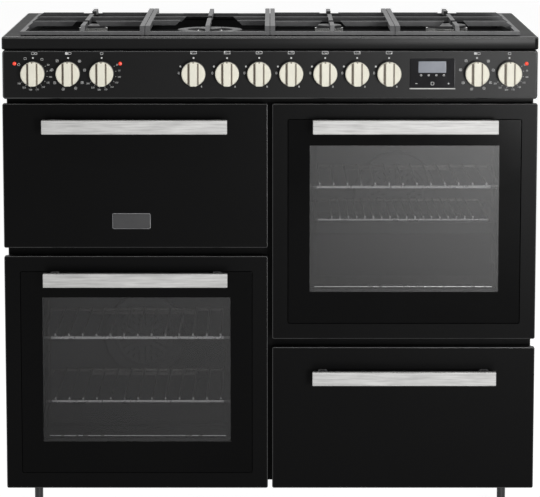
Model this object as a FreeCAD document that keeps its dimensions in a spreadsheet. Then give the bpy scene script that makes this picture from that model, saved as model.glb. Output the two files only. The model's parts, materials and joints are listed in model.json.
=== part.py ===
"""A 1000 mm range cooker: two ovens, a grill, a storage drawer and a seven-burner gas hob.

Millimetres. +Z is up, the cooker's front faces -Y and +X is to the right of a person who faces it.
The origin is the middle of the footprint, on the floor.
"""

import FreeCAD, Part
import math
import os
import re
import Sketcher

V = FreeCAD.Vector
doc = FreeCAD.newDocument("range_cooker")

# ---------------------------------------------------------------------------------------------
# Driving dimensions
# ---------------------------------------------------------------------------------------------
SIZES = {
    # the whole cooker
    "hob_width": 1000,
    "hob_depth": 600,
    "handle_proud": 40,  # the handle bars stand this far in front of the hob's edge
    "plinth_gap": 60,  # from the floor to the lower edges of the doors
    # the stack of doors and panels, as seen from the front
    "door_tall": 446.5,
    "door_short": 272.5,
    "door_gap_high": 15.5,
    "door_gap_wide": 8,
    "recess_gap": 8.5,
    "panel_high": 91.5,
    "panel_gap": 1,
    "fascia_high": 24.5,
    # sheet metal of the carcass
    "sheet": 1.5,
    "body_inset": 5,
    "body_lift": 7,
    "rear_gap": 32,
    # doors
    "door_setback": 5,
    "door_skin": 12,
    "return_wide": 12,
    "door_thick": 35,
    "core_inset": 3,
    "seal_gap": 5,
    "edge_round": 2,
    "glass_inset": 30,
    "glass_thick": 4,
    "glass_fit": 0.5,
    "glass_sink": 0.4,
    "window_side": 40.5,
    "window_low": 60,
    "window_high": 49,
    "inner_lap": 10,
    # handles
    "handle_long": 345,
    "handle_high": 26.2,
    "handle_bar": 12,
    "handle_drop": 27,
    "drawer_handle_drop": 40,
    "handle_round": 3,
    "post_radius": 7,
    "post_inset": 18,
    # door hinges
    "hinge_back": 20,  # axis behind the door's front face
    "hinge_up": 12,  # axis above the door's lower edge
    "hinge_side": 60,
    "ear_half": 5,
    "ear_radius": 7.5,
    "notch_side": 2,
    "notch_clear": 1,
    "pin_radius": 4,
    "pin_clear": 0.05,
    "pin_reach": 12,
    "pin_end_gap": 1,
    # cavities
    "cavity_side": 48,
    "cavity_low": 35,
    "cavity_top": 36.5,
    "cavity_deep": 383,
    "cavity_wall": 1.2,
    "seal_wide": 8,
    "seal_squeeze": 0.3,
    "seal_inset": 4,
    # oven fans
    "fan_cover_radius": 82,
    "fan_cover_deep": 40,
    "fan_cover_wall": 1.5,
    "fan_eye_radius": 26,
    "fan_radius": 60,
    "fan_wide": 18,
    "fan_gap": 7,
    "blade_thick": 2,
    "blade_count": 8,
    "fan_hub_radius": 14,
    "fan_shaft_radius": 4,
    "shaft_clear": 0.05,
    "shaft_hole_clear": 3,
    "motor_radius": 34,
    "motor_long": 62,
    "motor_gap": 8,
    "motor_foot": 10,
    "ring_radius": 70,
    "ring_tube": 3.2,
    # racks and shelves
    "rack_gap": 7,
    "rack_rod": 2,
    "rack_upright": 2.6,
    "rack_count": 6,
    "rack_start": 50,
    "rack_pitch": 55,
    "rack_front_gap": 25,
    "rack_rear_gap": 55,
    "shelf_front_gap": 14,
    "shelf_rod": 3,
    "shelf_wire": 1.75,
    "shelf_count": 13,
    "shelf_pitch": 26.3,
    "shelf_low_height": 121,
    "shelf_high_height": 245,
    "shelf_right_height": 247,
    "tray_height": 178,
    "tray_deep": 26,
    "tray_wall": 1.5,
    "tray_rim": 8,
    "trivet_wires": 18,
    "trivet_pitch": 15.8,
    # grill
    "grill_pan_height": 60,
    "grill_pan_deep": 32,
    "element_tube": 4,
    "element_pitch": 48,
    "element_rows": 6,
    "element_drop": 22,
    # hob
    "rim_side": 40,
    "rim_front": 28,
    "rim_rear": 118,
    "hob_corner": 7,
    "basin_corner": 18,
    "grate_count": 4,
    "grate_front": 20,
    "grate_wide": 232.5,
    "grate_gap": 1,
    "grate_deep": 470,
    "grate_front_burner": 126,
    "grate_rear_burner": 350,
    "grate_middle": 235,
    # burners
    "burner_flange": 6,
    "burner_head_high": 11,
    "burner_cap_high": 6,
    "cap_lip": 3,
    "cup_radius": 16,
    "cup_deep": 15,
    "hob_hole_clear": 1,
    "rapid_radius": 48,
    "medium_radius": 41,
    "small_radius": 28,
    "wok_radius": 66,
    "wok_inner_radius": 24,
    "igniter_radius": 2.5,
    "igniter_high": 12,
    "sensor_radius": 1.5,
    # pan supports
    "bar_wide": 9,
    "finger_wide": 8,
    "pad_high": 1.5,
    "pad_radius": 3.6,
    "bar_low_top": 8,
    "finger_top": 18,
    "finger_deep": 9.5,
    "rise_run": 14,
    "bridge_rise": 9,
    "tip_cut": 9,
    "front_finger_end": 112,
    "middle_finger_start": 144,
    "middle_finger_end": 307,
    "rear_finger_start": 383,
    "side_finger_gap": 36,
    "wok_front_end": 201,
    "wok_rear_start": 265,
    "wok_side_gap": 92,
    "wok_cross_bar": 148,
    "wok_cross_long": 62,
    # control panel, knobs and what is behind them
    "panel_setback": 3,
    "panel_side": 1,
    "panel_round": 6,
    "knob_high": 48.5,  # knob centres above the panel's lower edge
    "knob_radius": 23,
    "knob_gap": 0.8,
    "knob_skirt": 6,
    "knob_face_radius": 22.3,
    "knob_face": 17,
    "knob_grip_wide": 15,
    "knob_grip_proud": 7,
    "knob_grip_half": 22,
    "spindle_radius": 3.95,
    "spindle_long": 68,
    "spindle_hole": 6,
    "tap_bore": 4,
    "tap_wide": 26,
    "tap_high": 30,
    "tap_deep": 40,
    "tap_gap": 3,
    "slot_margin": 9,
    "slot_side": 30,
    "rail_radius": 9,
    "pipe_radius": 4,
    "pipe_rise": 8,
    "pipe_bend": 14,
    "pipe_lead": 20,
    "inlet_radius": 10.48,
    "inlet_long": 22,
    "inlet_side": 70,
    "inlet_high": 250,
    "timer_wide": 84,
    "timer_high": 55,
    "timer_proud": 1.5,
    "timer_deep": 30,
    "timer_lip": 2.5,
    "timer_fit": 0.5,
    "neon_radius": 3.5,
    "neon_fit": 0.1,
    "neon_proud": 1.5,
    "neon_long": 18,
    "neon_high": 66.5,
    # centres across the panel: the left group from its left end, all others from its right end
    "grill_knob_in": 57.4,
    "left_mode_knob_in": 123,
    "left_heat_knob_in": 185.6,
    "left_front_knob_in": 641.4,
    "left_rear_knob_in": 578.8,
    "wok_knob_in": 519.1,
    "centre_rear_knob_in": 459.5,
    "centre_front_knob_in": 396.2,
    "right_rear_knob_in": 336.7,
    "right_front_knob_in": 277.2,
    "timer_in": 196.2,
    "right_mode_knob_in": 113.5,
    "right_heat_knob_in": 53,
    "grill_neon_in": 23,
    "left_neon_in": 220,
    "right_neon_in": 21,
    # drawer
    "drawer_side": 26,
    "drawer_low": 20,
    "drawer_top": 42,
    "drawer_sheet": 1.5,
    "drawer_deep": 430,
    "runner_high": 22,
    "runner_lift": 90,
    "runner_deep": 420,
    "runner_clear": 3,
    "rail_wide": 7.5,
    "rail_high": 9,
    "rail_clear": 0.6,
    "opening_clear": 6,
    # feet and back
    "foot_radius": 20,
    "foot_high": 10,
    "stem_radius": 8,
    "foot_side": 50,
    "foot_front": 30,
    "foot_rear": 30,
    "vent_count": 12,
    "vent_pitch": 30,
    "vent_wide": 18,
    "vent_high": 4,
    "vent_rows": 4,
    "vent_row_pitch": 14,
    "vent_drop": 150,
    "terminal_wide": 110,
    "terminal_high": 85,
    "terminal_deep": 28,
    "terminal_side": 105,
    "terminal_lift": 130,
    "terminal_wall": 2,
    "cable_radius": 7,
}

# ---------------------------------------------------------------------------------------------
# Places that follow from them, as formulas
# ---------------------------------------------------------------------------------------------
PLACES = {
    "hob_front": "-(hob_depth - handle_proud) / 2",
    "hob_back": "hob_front + hob_depth",
    "handle_front": "hob_front - handle_proud",
    "door_front": "hob_front + door_setback",
    "skin_back": "door_front + door_skin",
    "door_back": "door_front + door_thick",
    "face": "door_back + seal_gap",
    "face_back": "face + sheet",
    "body_back": "hob_back - rear_gap",
    "body_half": "hob_width / 2 - body_inset",
    "body_bottom": "plinth_gap + body_lift",
    "floor_top": "body_bottom + sheet",
    "door_wide": "(hob_width - door_gap_wide) / 2",
    "column": "(door_wide + door_gap_wide) / 2",
    "upper_left": "plinth_gap + door_tall + door_gap_high",
    "upper_right": "plinth_gap + door_short + door_gap_high",
    "doors_top": "upper_left + door_short",
    "panel_bottom": "doors_top + recess_gap",
    "panel_top": "panel_bottom + panel_high",
    "panel_front": "hob_front + panel_setback",
    "panel_half": "hob_width / 2 - panel_side",
    "hob_low": "panel_top + panel_gap",
    "rim_top": "hob_low + fascia_high",
    "basin_floor": "hob_low + sheet",
    "basin_half": "hob_width / 2 - rim_side",
    "basin_front": "hob_front + rim_front",
    "basin_back": "hob_back - rim_rear",
    "hinge_y": "door_front + hinge_back",
    "cavity_half": "door_wide / 2 - cavity_side",
    "cavity_back": "face_back + cavity_deep",
    "tall_middle": "(cavity_low + door_tall - cavity_top) / 2",
    "knob_z": "panel_bottom + knob_high",
    "timer_side": "panel_half - timer_in",
    "tap_front": "face_back + tap_gap",
    "tap_back": "tap_front + tap_deep",
    "grate_y": "hob_front + grate_front",
    "grate_pitch": "grate_wide + grate_gap",
    "runner_z": "plinth_gap + runner_lift",
}


def scoped(text, own=()):
    """The formula with each named value given the sheet that holds it."""

    def place(word):
        name = word.group(0)
        if name in SIZES:
            return "Sizes." + name
        if name in PLACES and name not in own:
            return "Places." + name
        return name

    return re.sub(r"[a-z][a-z_]*", place, str(text))


def fill(name, cells):
    sheet = doc.addObject("Spreadsheet::Sheet", name)
    for row, (alias, text) in enumerate(cells.items(), 1):
        sheet.set(f"A{row}", alias)
        sheet.set(f"B{row}", text)
        sheet.setAlias(f"B{row}", alias)
    return sheet


sizes = fill("Sizes", {alias: str(number) for alias, number in SIZES.items()})
doc.recompute()
places = fill("Places", {alias: "=" + scoped(text, PLACES) for alias, text in PLACES.items()})
doc.recompute()


def size(name):
    """A named value read back from the sheets."""
    return float(getattr(sizes if name in SIZES else places, name))


def worked_out(text):
    """The value of a formula of the form: named value, sign, named value."""
    first, sign, second = text.split()
    start = -size(first[1:]) if first.startswith("-") else size(first)
    return start + size(second) if sign == "+" else start - size(second)


NODES = []


def keep(piece):
    NODES.append(piece)
    return piece


# ---------------------------------------------------------------------------------------------
# Ways to make a piece, with every size bound to the sheets
# ---------------------------------------------------------------------------------------------
TURNS = {
    "X": FreeCAD.Rotation(V(0, 1, 0), 90),
    "Y": FreeCAD.Rotation(V(1, 0, 0), -90),
    "Z": FreeCAD.Rotation(),
}
FACING = {
    "XY": FreeCAD.Rotation(),
    "XZ": FreeCAD.Rotation(V(1, 0, 0), 90),
    "YZ": FreeCAD.Rotation(V(1, 1, 1), 120),
}


def bind(piece, prop, text):
    piece.setExpression(prop, scoped(text))


def put(piece, x, y, z, turn=None):
    if turn is not None:
        piece.Placement = FreeCAD.Placement(V(), turn)
    for way, text in zip("xyz", (x, y, z)):
        bind(piece, f"Placement.Base.{way}", text)
    return piece


def block(label, x, y, z):
    """A box between two formulas along each axis."""
    piece = doc.addObject("Part::Box", label)
    for prop, (low, high) in zip(("Length", "Width", "Height"), (x, y, z)):
        bind(piece, prop, f"({high}) - ({low})")
    return put(piece, x[0], y[0], z[0])


def rod(label, axis, start, radius, length):
    piece = doc.addObject("Part::Cylinder", label)
    bind(piece, "Radius", radius)
    bind(piece, "Height", length)
    return put(piece, *start, TURNS[axis])


def fuse(label, *pieces):
    piece = doc.addObject("Part::MultiFuse", label)
    piece.Shapes = list(pieces)
    piece.Refine = True
    return piece


def group(label, *pieces):
    piece = doc.addObject("Part::Compound", label)
    piece.Links = list(pieces)
    return piece


def cut(label, base, *tools):
    piece = doc.addObject("Part::Cut", label)
    piece.Base = base
    piece.Tool = tools[0] if len(tools) == 1 else group(label + "_tools", *tools)
    return piece


DRAFT = 10  # a loop starts as a regular polygon of this radius, before its constraints place it


def draw(sketch, loops):
    """Closed loops of corners, or (x, y, radius) circles, each number held by a bound constraint."""
    formulas = []
    geometry = []
    rules = []
    for loop in loops:
        first = len(geometry)
        if isinstance(loop, tuple):
            geometry.append(Part.Circle(V(1, 1, 0), V(0, 0, 1), 1))
            for kind, value, text in (
                ("DistanceX", 1, loop[0]),
                ("DistanceY", 1, loop[1]),
            ):
                formulas.append((len(rules), text))
                rules.append(Sketcher.Constraint(kind, -1, 1, first, 3, value))
            formulas.append((len(rules), loop[2]))
            rules.append(Sketcher.Constraint("Radius", first, 1))
            continue
        count = len(loop)
        spots = [V(DRAFT * math.cos(turn), DRAFT * math.sin(turn), 0)
                 for turn in (2 * math.pi * step / count for step in range(count))]
        for step in range(count):
            after = (step + 1) % count
            geometry.append(Part.LineSegment(spots[step], spots[after]))
            rules.append(Sketcher.Constraint("Coincident", first + step, 2, first + after, 1))
        for step, (across, up) in enumerate(loop):
            for kind, value, text in (
                ("DistanceX", spots[step].x, across),
                ("DistanceY", spots[step].y, up),
            ):
                formulas.append((len(rules), text))
                rules.append(Sketcher.Constraint(kind, -1, 1, first + step, 1, value))
    sketch.addGeometry(geometry, False)
    sketch.addConstraint(rules)
    for row, text in formulas:
        bind(sketch, f"Constraints[{row}]", text)
    return sketch


def prism(label, plane, loops, at, thick):
    """Loops drawn on a plane through the point at, pushed along the plane's normal by thick."""
    sketch = draw(doc.addObject("Sketcher::SketchObject", label + "_profile"), loops)
    put(sketch, *at, FACING[plane])
    piece = doc.addObject("Part::Extrusion", label)
    piece.Base = sketch
    piece.DirMode = "Normal"
    piece.Solid = True
    bind(piece, "LengthFwd", thick)
    return piece


def lathe_profile(label, corners):
    """Half a section, radius across and height up, shared by all the turned pieces of one kind."""
    sketch = draw(doc.addObject("Sketcher::SketchObject", label), [corners])
    return put(sketch, "0", "0", "0", FACING["XZ"])


def turned(label, profile, x, y, z, turn=None):
    piece = doc.addObject("Part::Revolution", label)
    piece.Source = profile
    piece.Axis = V(0, 0, 1)
    piece.Base = V()
    piece.Angle = 360
    piece.Solid = True
    return put(piece, x, y, z, turn)


def origin_plane(body, role):
    return next(plane for plane in body.Origin.OriginFeatures if plane.Role == role)


def body_sketch(body, name, role, offset, loops):
    sketch = body.newObject("Sketcher::SketchObject", name)
    sketch.AttachmentSupport = [(origin_plane(body, role), "")]
    sketch.MapMode = "FlatFace"
    bind(sketch, "AttachmentOffset.Base.z", offset)
    return draw(sketch, loops)


def pad(body, name, sketch, length):
    feature = body.newObject("PartDesign::Pad", name)
    feature.Profile = sketch
    bind(feature, "Length", length)
    sketch.Visibility = False
    return feature


def round_edges(body, name, base, chosen, radius):
    """Fillet the edges of the base that the test picks."""
    doc.recompute()
    names = [f"Edge{row}" for row, edge in enumerate(base.Shape.Edges, 1) if chosen(edge)]
    feature = body.newObject("PartDesign::Fillet", name)
    feature.Base = (base, names)
    bind(feature, "Radius", radius)
    return feature


def rectangle(x, y):
    return [(x[0], y[0]), (x[1], y[0]), (x[1], y[1]), (x[0], y[1])]


def lies_at(edge, axis, value):
    box = edge.BoundBox
    low, high = getattr(box, axis + "Min"), getattr(box, axis + "Max")
    return abs(low - value) < 0.01 and abs(high - value) < 0.01


def stands(edge):
    """Whether an edge is upright."""
    box = edge.BoundBox
    return box.ZLength > max(box.XLength, box.YLength)


def front_outline(edge, front, x, z):
    """Whether an edge lies in the front plane, on the outer rectangle."""
    if not lies_at(edge, "Y", front):
        return False
    return any(lies_at(edge, axis, side) for axis, pair in (("X", x), ("Z", z)) for side in pair)


# The two columns of the cooker and the four fronts in them: middle, lower edge and height.
LEFT = "-column"
RIGHT = "column"
FRONTS = {
    "left": (LEFT, "plinth_gap", "door_tall"),
    "right": (RIGHT, "upper_right", "door_tall"),
    "grill": (LEFT, "upper_left", "door_short"),
    "drawer": (RIGHT, "plinth_gap", "door_short"),
}


def span(middle, half):
    return f"{middle} - ({half})", f"{middle} + ({half})"


def grown(pair, amount):
    return f"{pair[0]} - ({amount})", f"{pair[1]} + ({amount})"


# ---------------------------------------------------------------------------------------------
# Doors and drawer front
# ---------------------------------------------------------------------------------------------
def front_panel(label, front, glazed):
    """The outer panel: a frame for the glass on an oven door, and else a tray with turned-in edges."""
    middle, low, high = FRONTS[front]
    across = span(middle, "door_wide / 2")
    up = (low, f"{low} + {high}")
    loops = [rectangle(across, up)]
    if glazed:
        hole = "door_wide / 2 - glass_inset + glass_fit"
        loops.append(rectangle(
            span(middle, hole),
            (f"{low} + glass_inset - glass_fit", f"{low} + {high} - glass_inset + glass_fit"),
        ))
    body = doc.addObject("PartDesign::Body", label if glazed else label + "_skin")
    sketch = body_sketch(body, label + "_outline", "XZ_Plane", "-skin_back", loops)
    plate = pad(body, label + "_plate", sketch, "door_skin")
    sign = -1 if middle == LEFT else 1
    centre = sign * size("column")
    half = size("door_wide") / 2
    bottom = size(low)
    edges = ((centre - half, centre + half), (bottom, bottom + size(high)))
    round_edges(body, label + "_eased", plate,
                lambda edge: front_outline(edge, size("door_front"), *edges), "edge_round")
    if glazed:
        return body
    hollow = block(label + "_hollow", grown(across, "-sheet"),
                   ("door_front + sheet", "skin_back - sheet"), grown(up, "-sheet"))
    mouth = block(label + "_mouth", grown(across, "-return_wide"),
                  ("door_front + sheet", "skin_back + 1"), grown(up, "-return_wide"))
    return cut(label, body, hollow, mouth)


def hinge_places(front):
    middle = FRONTS[front][0]
    reach = "door_wide / 2 - hinge_side"
    return [f"{middle} - ({reach})", f"{middle} + ({reach})"]


def hinge_cuts(label, front):
    """Notches for the hinge ears and the bores beside them that run on the pins."""
    low = FRONTS[front][1]
    tools = []
    for number, x in enumerate(hinge_places(front), 1):
        tools.append(block(
            f"{label}_notch_{number}",
            span(x, "ear_half + notch_side"),
            ("skin_back - 1", "door_back + 1"),
            (low, f"{low} + hinge_up + ear_radius + notch_clear"),
        ))
        reach = "ear_half + pin_reach + pin_end_gap"
        tools.append(rod(
            f"{label}_bore_{number}", "X",
            (f"{x} - ({reach})", "hinge_y", f"{low} + hinge_up"),
            "pin_radius + pin_clear", f"2 * ({reach})",
        ))
    return tools


def door_core(label, front, glazed):
    """The inner panel: a tray with hinge blocks. On an oven door it carries both panes of glass."""
    middle, low, high = FRONTS[front]
    across = span(middle, "door_wide / 2 - core_inset")
    up = (f"{low} + core_inset", f"{low} + {high} - core_inset")
    tray = cut(
        label + "_tray",
        block(label + "_plate", across, ("skin_back", "door_back"), up),
        block(label + "_room", grown(across, "-sheet"), ("skin_back - 1", "door_back - sheet"),
              grown(up, "-sheet")),
    )
    pieces = [tray]
    for number, x in enumerate(hinge_places(front), 1):
        pieces.append(block(
            f"{label}_hinge_block_{number}",
            span(x, "ear_half + pin_reach + pin_end_gap + sheet"),
            ("skin_back", "door_back"),
            (up[0], f"{low} + hinge_up + ear_radius + notch_clear + sheet"),
        ))
    tools = hinge_cuts(label, front)
    if glazed:
        behind_glass = "door_front + glass_sink + glass_thick"
        lap = grown(span(middle, "door_wide / 2 - glass_inset"), "-glass_fit")
        lap_up = (f"{low} + glass_inset + glass_fit", f"{low} + {high} - glass_inset - glass_fit")
        tunnel = window_box(front, "sheet")
        holder = window_box(front, "inner_lap + glass_fit + sheet")
        pieces += [
            block(label + "_land", lap, (behind_glass, f"{behind_glass} + sheet"), lap_up),
            block(label + "_tunnel", tunnel[0], (behind_glass, "door_back"), tunnel[1]),
            block(label + "_pane_holder", holder[0], ("door_back - 2 * glass_thick", "door_back"),
                  holder[1]),
        ]
        window = window_box(front, "0")
        tools.append(block(label + "_window", window[0], ("door_front - 1", "door_back + 1"), window[1]))
        pane = window_box(front, "inner_lap + glass_fit")
        tools.append(block(
            label + "_rebate", pane[0], ("door_back - glass_thick", "door_back + 1"), pane[1]))
    return cut(label, fuse(label + "_body", *pieces), *tools)


def window_box(front, grow):
    middle, low, high = FRONTS[front]
    return (
        span(middle, f"door_wide / 2 - glass_inset - window_side + {grow}"),
        (
            f"{low} + glass_inset + window_low - ({grow})",
            f"{low} + {high} - glass_inset - window_high + {grow}",
        ),
    )


def door_glass(label, front):
    middle, low, high = FRONTS[front]
    outer = block(
        label + "_outer",
        span(middle, "door_wide / 2 - glass_inset"),
        ("door_front + glass_sink", "door_front + glass_sink + glass_thick"),
        (f"{low} + glass_inset", f"{low} + {high} - glass_inset"),
    )
    pane = window_box(front, "inner_lap")
    inner = block(label + "_inner", pane[0], ("door_back - glass_thick", "door_back"), pane[1])
    return group(label, outer, inner)


def handle(label, front, drop):
    """A flat bar with eased edges on two round posts."""
    middle, low, high = FRONTS[front]
    top = f"{low} + {high} - {drop}"
    bottom = f"{top} - handle_high"
    across = span(middle, "handle_long / 2")
    body = doc.addObject("PartDesign::Body", label + "_bar")
    sketch = body_sketch(body, label + "_outline", "XZ_Plane",
                         "-(handle_front + handle_bar)", [rectangle(across, (bottom, top))])
    bar = pad(body, label + "_pad", sketch, "handle_bar")
    doc.recompute()
    box = bar.Shape.BoundBox
    edges = ((box.XMin, box.XMax), (box.ZMin, box.ZMax))
    round_edges(body, label + "_eased", bar,
                lambda edge: front_outline(edge, size("handle_front"), *edges), "handle_round")
    posts = []
    carrier = "door_front + glass_sink" if front in ("left", "right") else "door_front"
    for number, sign in enumerate("-+", 1):
        posts.append(rod(
            f"{label}_post_{number}", "Y",
            (f"{middle} {sign} (handle_long / 2 - post_inset)", "handle_front + handle_bar",
             f"{top} - handle_high / 2"),
            "post_radius", f"({carrier}) - handle_front - handle_bar",
        ))
    return group(label, body, *posts)


for side in ("left", "right"):
    keep(front_panel(f"{side}_door_frame", side, True))
    keep(door_core(f"{side}_door_core", side, True))
    keep(door_glass(f"{side}_door_glass", side))
    keep(handle(f"{side}_door_handle", side, "handle_drop"))
keep(front_panel("grill_door_panel", "grill", False))
keep(door_core("grill_door_core", "grill", False))
keep(handle("grill_door_handle", "grill", "handle_drop"))
keep(handle("drawer_handle", "drawer", "drawer_handle_drop"))


def drawer_front(label):
    """A shallow tray that faces forward, as thick as the doors."""
    middle, low, high = FRONTS["drawer"]
    plate = front_panel(label + "_panel", "drawer", False)
    top = f"{low} + {high}"
    outer = block(label + "_returns", span(middle, "door_wide / 2 - core_inset"),
                  ("skin_back", "door_back"), (f"{low} + core_inset", f"{top} - core_inset"))
    hollow = block(label + "_hollow", span(middle, "door_wide / 2 - core_inset - sheet"),
                   ("skin_back", "door_back + 1"),
                   (f"{low} + core_inset + sheet", f"{top} - core_inset - sheet"))
    return fuse(label, plate, cut(label + "_flange", outer, hollow))


def drawer_box(label):
    """The open box behind the drawer's front, with a slide rail on each side."""
    middle, low, high = FRONTS["drawer"]
    side = "door_wide / 2 - drawer_side"
    bottom, top = f"{low} + drawer_low", f"{low} + {high} - drawer_top"
    back = "skin_back + drawer_deep"
    outer = block(label + "_outer", span(middle, side), ("door_front + sheet", back), (bottom, top))
    inner = block(label + "_inner", span(middle, f"{side} - drawer_sheet"),
                  ("door_front + sheet + drawer_sheet", f"{back} - drawer_sheet"),
                  (f"{bottom} + drawer_sheet", f"{top} + 1"))
    shell = cut(label + "_shell", outer, inner)
    rails = []
    for number, sign in enumerate("-+", 1):
        edge = f"{middle} {sign} ({side})"
        out = f"{edge} {sign} rail_wide"
        across = (out, edge) if sign == "-" else (edge, out)
        rails.append(block(f"{label}_rail_{number}", across, ("face_back", back),
                           span("runner_z", "rail_high / 2")))
    return fuse(label, shell, *rails)


keep(drawer_front("drawer_front"))
keep(drawer_box("drawer_box"))


# ---------------------------------------------------------------------------------------------
# Carcass
# ---------------------------------------------------------------------------------------------
rim_under = "rim_top - sheet"
keep(group(
    "side_panels",
    block("side_left", ("-body_half", "-body_half + sheet"), ("face_back", "body_back"),
          ("body_bottom", rim_under)),
    block("side_right", ("body_half - sheet", "body_half"), ("face_back", "body_back"),
          ("body_bottom", rim_under)),
))
inside = span("0", "body_half - sheet")
back_plate = block("back_plate", inside, ("body_back - sheet", "body_back"), ("floor_top", rim_under))
vents = []
for row in range(int(size("vent_rows"))):
    for step in range(int(size("vent_count"))):
        vents.append(block(
            f"vent_{row}_{step}",
            span(f"({step} - (vent_count - 1) / 2) * vent_pitch", "vent_wide / 2"),
            ("body_back - sheet - 1", "body_back + 1"),
            span(f"rim_top - vent_drop - {row} * vent_row_pitch", "vent_high / 2"),
        ))
keep(cut("back_panel", back_plate, *vents))
keep(block("base_pan", inside, ("face_back", "body_back"), ("body_bottom", "floor_top")))
keep(block("centre_divider", span("0", "sheet / 2"), ("face_back", "body_back - sheet"),
           ("floor_top", "panel_bottom")))


def cavity_box(front):
    """The hollow behind a door, as formulas across and up."""
    middle, low, high = FRONTS[front]
    return span(middle, "cavity_half"), (f"{low} + cavity_low", f"{low} + {high} - cavity_top")


def drawer_opening():
    middle, low, high = FRONTS["drawer"]
    side = "door_wide / 2 - drawer_side + rail_wide + opening_clear / 2"
    return (
        span(middle, side),
        (f"{low} + drawer_low - opening_clear", f"{low} + {high} - drawer_top + opening_clear"),
    )


tap_slot = (span("0", "body_half - slot_side"),
            ("knob_z - tap_high / 2 - slot_margin", "knob_z + tap_high / 2 + slot_margin"))
openings = [cavity_box("left"), cavity_box("right"), cavity_box("grill"), drawer_opening(), tap_slot]
keep(prism(
    "front_frame", "XZ",
    [rectangle(span("0", "body_half"), ("body_bottom", "hob_low"))]
    + [rectangle(*opening) for opening in openings],
    ("0", "face_back", "0"), "sheet",
))


def cavity(label, front, fan):
    """A welded steel box, open to the front, with a hole for the fan shaft in its rear wall."""
    across, up = cavity_box(front)
    outer = block(label + "_outer", grown(across, "cavity_wall"),
                  ("face_back", "cavity_back + cavity_wall"), grown(up, "cavity_wall"))
    hollow = block(label + "_hollow", across, ("face_back - 1", "cavity_back"), up)
    tools = [hollow]
    if fan:
        tools.append(rod(label + "_shaft_hole", "Y",
                         (FRONTS[front][0], "cavity_back - 1", fan_z(front)),
                         "fan_shaft_radius + shaft_hole_clear", "cavity_wall + 2"))
    return cut(label, outer, *tools)


def fan_z(front):
    return f"{FRONTS[front][1]} + tall_middle"


keep(cavity("oven_cavity_left", "left", True))
keep(cavity("oven_cavity_right", "right", True))
keep(cavity("grill_cavity", "grill", False))

seals = []
for front in ("left", "right", "grill"):
    across, up = cavity_box(front)
    reach = ("door_back + seal_squeeze", "face")
    ring = block(f"seal_{front}_outer", grown(across, "seal_inset + seal_wide"), reach,
                 grown(up, "seal_inset + seal_wide"))
    hole = block(f"seal_{front}_hole", grown(across, "seal_inset"),
                 ("door_back - 1", "face + 1"), grown(up, "seal_inset"))
    seals.append(cut(f"seal_{front}", ring, hole))
keep(group("door_seals", *seals))

hinge_pieces = []
for front in ("left", "right", "grill"):
    low = FRONTS[front][1]
    for number, x in enumerate(hinge_places(front), 1):
        name = f"hinge_{front}_{number}"
        arm = block(name + "_arm", span(x, "ear_half"), ("hinge_y", "face"),
                    span(f"{low} + hinge_up", "ear_radius"))
        eye = rod(name + "_eye", "X", (f"{x} - ear_half", "hinge_y", f"{low} + hinge_up"),
                  "ear_radius", "2 * ear_half")
        bore = rod(name + "_bore", "X", (f"{x} - ear_half - 1", "hinge_y", f"{low} + hinge_up"),
                   "pin_radius", "2 * ear_half + 2")
        hinge_pieces.append(cut(name, fuse(name + "_ear", arm, eye), bore))
        hinge_pieces.append(rod(
            name + "_pin", "X",
            (f"{x} - ear_half - pin_reach", "hinge_y", f"{low} + hinge_up"),
            "pin_radius", "2 * (ear_half + pin_reach)",
        ))
keep(group("door_hinges", *hinge_pieces))

runners = []
for number, sign in enumerate("-+", 1):
    side = f"{RIGHT} {sign} (door_wide / 2 - drawer_side)"
    near = f"{side} {sign} runner_clear"
    wall = "sheet / 2" if sign == "-" else "body_half - sheet"
    across = (wall, near) if sign == "-" else (near, wall)
    bar = block(f"runner_{number}_bar", across, ("face_back", "face_back + runner_deep"),
                span("runner_z", "runner_high / 2"))
    floor = f"{side} {sign} (rail_wide + rail_clear)"
    groove = (floor, f"{near} + 1") if sign == "-" else (f"{near} - 1", floor)
    runners.append(cut(
        f"runner_{number}", bar,
        block(f"runner_{number}_groove", groove, ("face_back - 1", "face_back + runner_deep + 1"),
              span("runner_z", "rail_high / 2 + rail_clear")),
    ))
keep(group("drawer_runners", *runners))

foot_shape = lathe_profile("foot_section", [
    ("0", "0"), ("foot_radius", "0"), ("foot_radius", "foot_high * 0.6"),
    ("foot_radius * 0.6", "foot_high"), ("stem_radius", "foot_high"),
    ("stem_radius", "body_bottom"), ("0", "body_bottom"),
])
keep(group("levelling_feet", *[
    turned(f"foot_{side}_{end}", foot_shape, x, y, "0")
    for side, x in (("left", "-body_half + foot_side"), ("right", "body_half - foot_side"))
    for end, y in (("front", "face_back + foot_front"), ("rear", "body_back - foot_rear"))
]))

# ---------------------------------------------------------------------------------------------
# Oven fans, elements, racks and shelves
# ---------------------------------------------------------------------------------------------
FANS = {"left": LEFT, "right": RIGHT}


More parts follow.
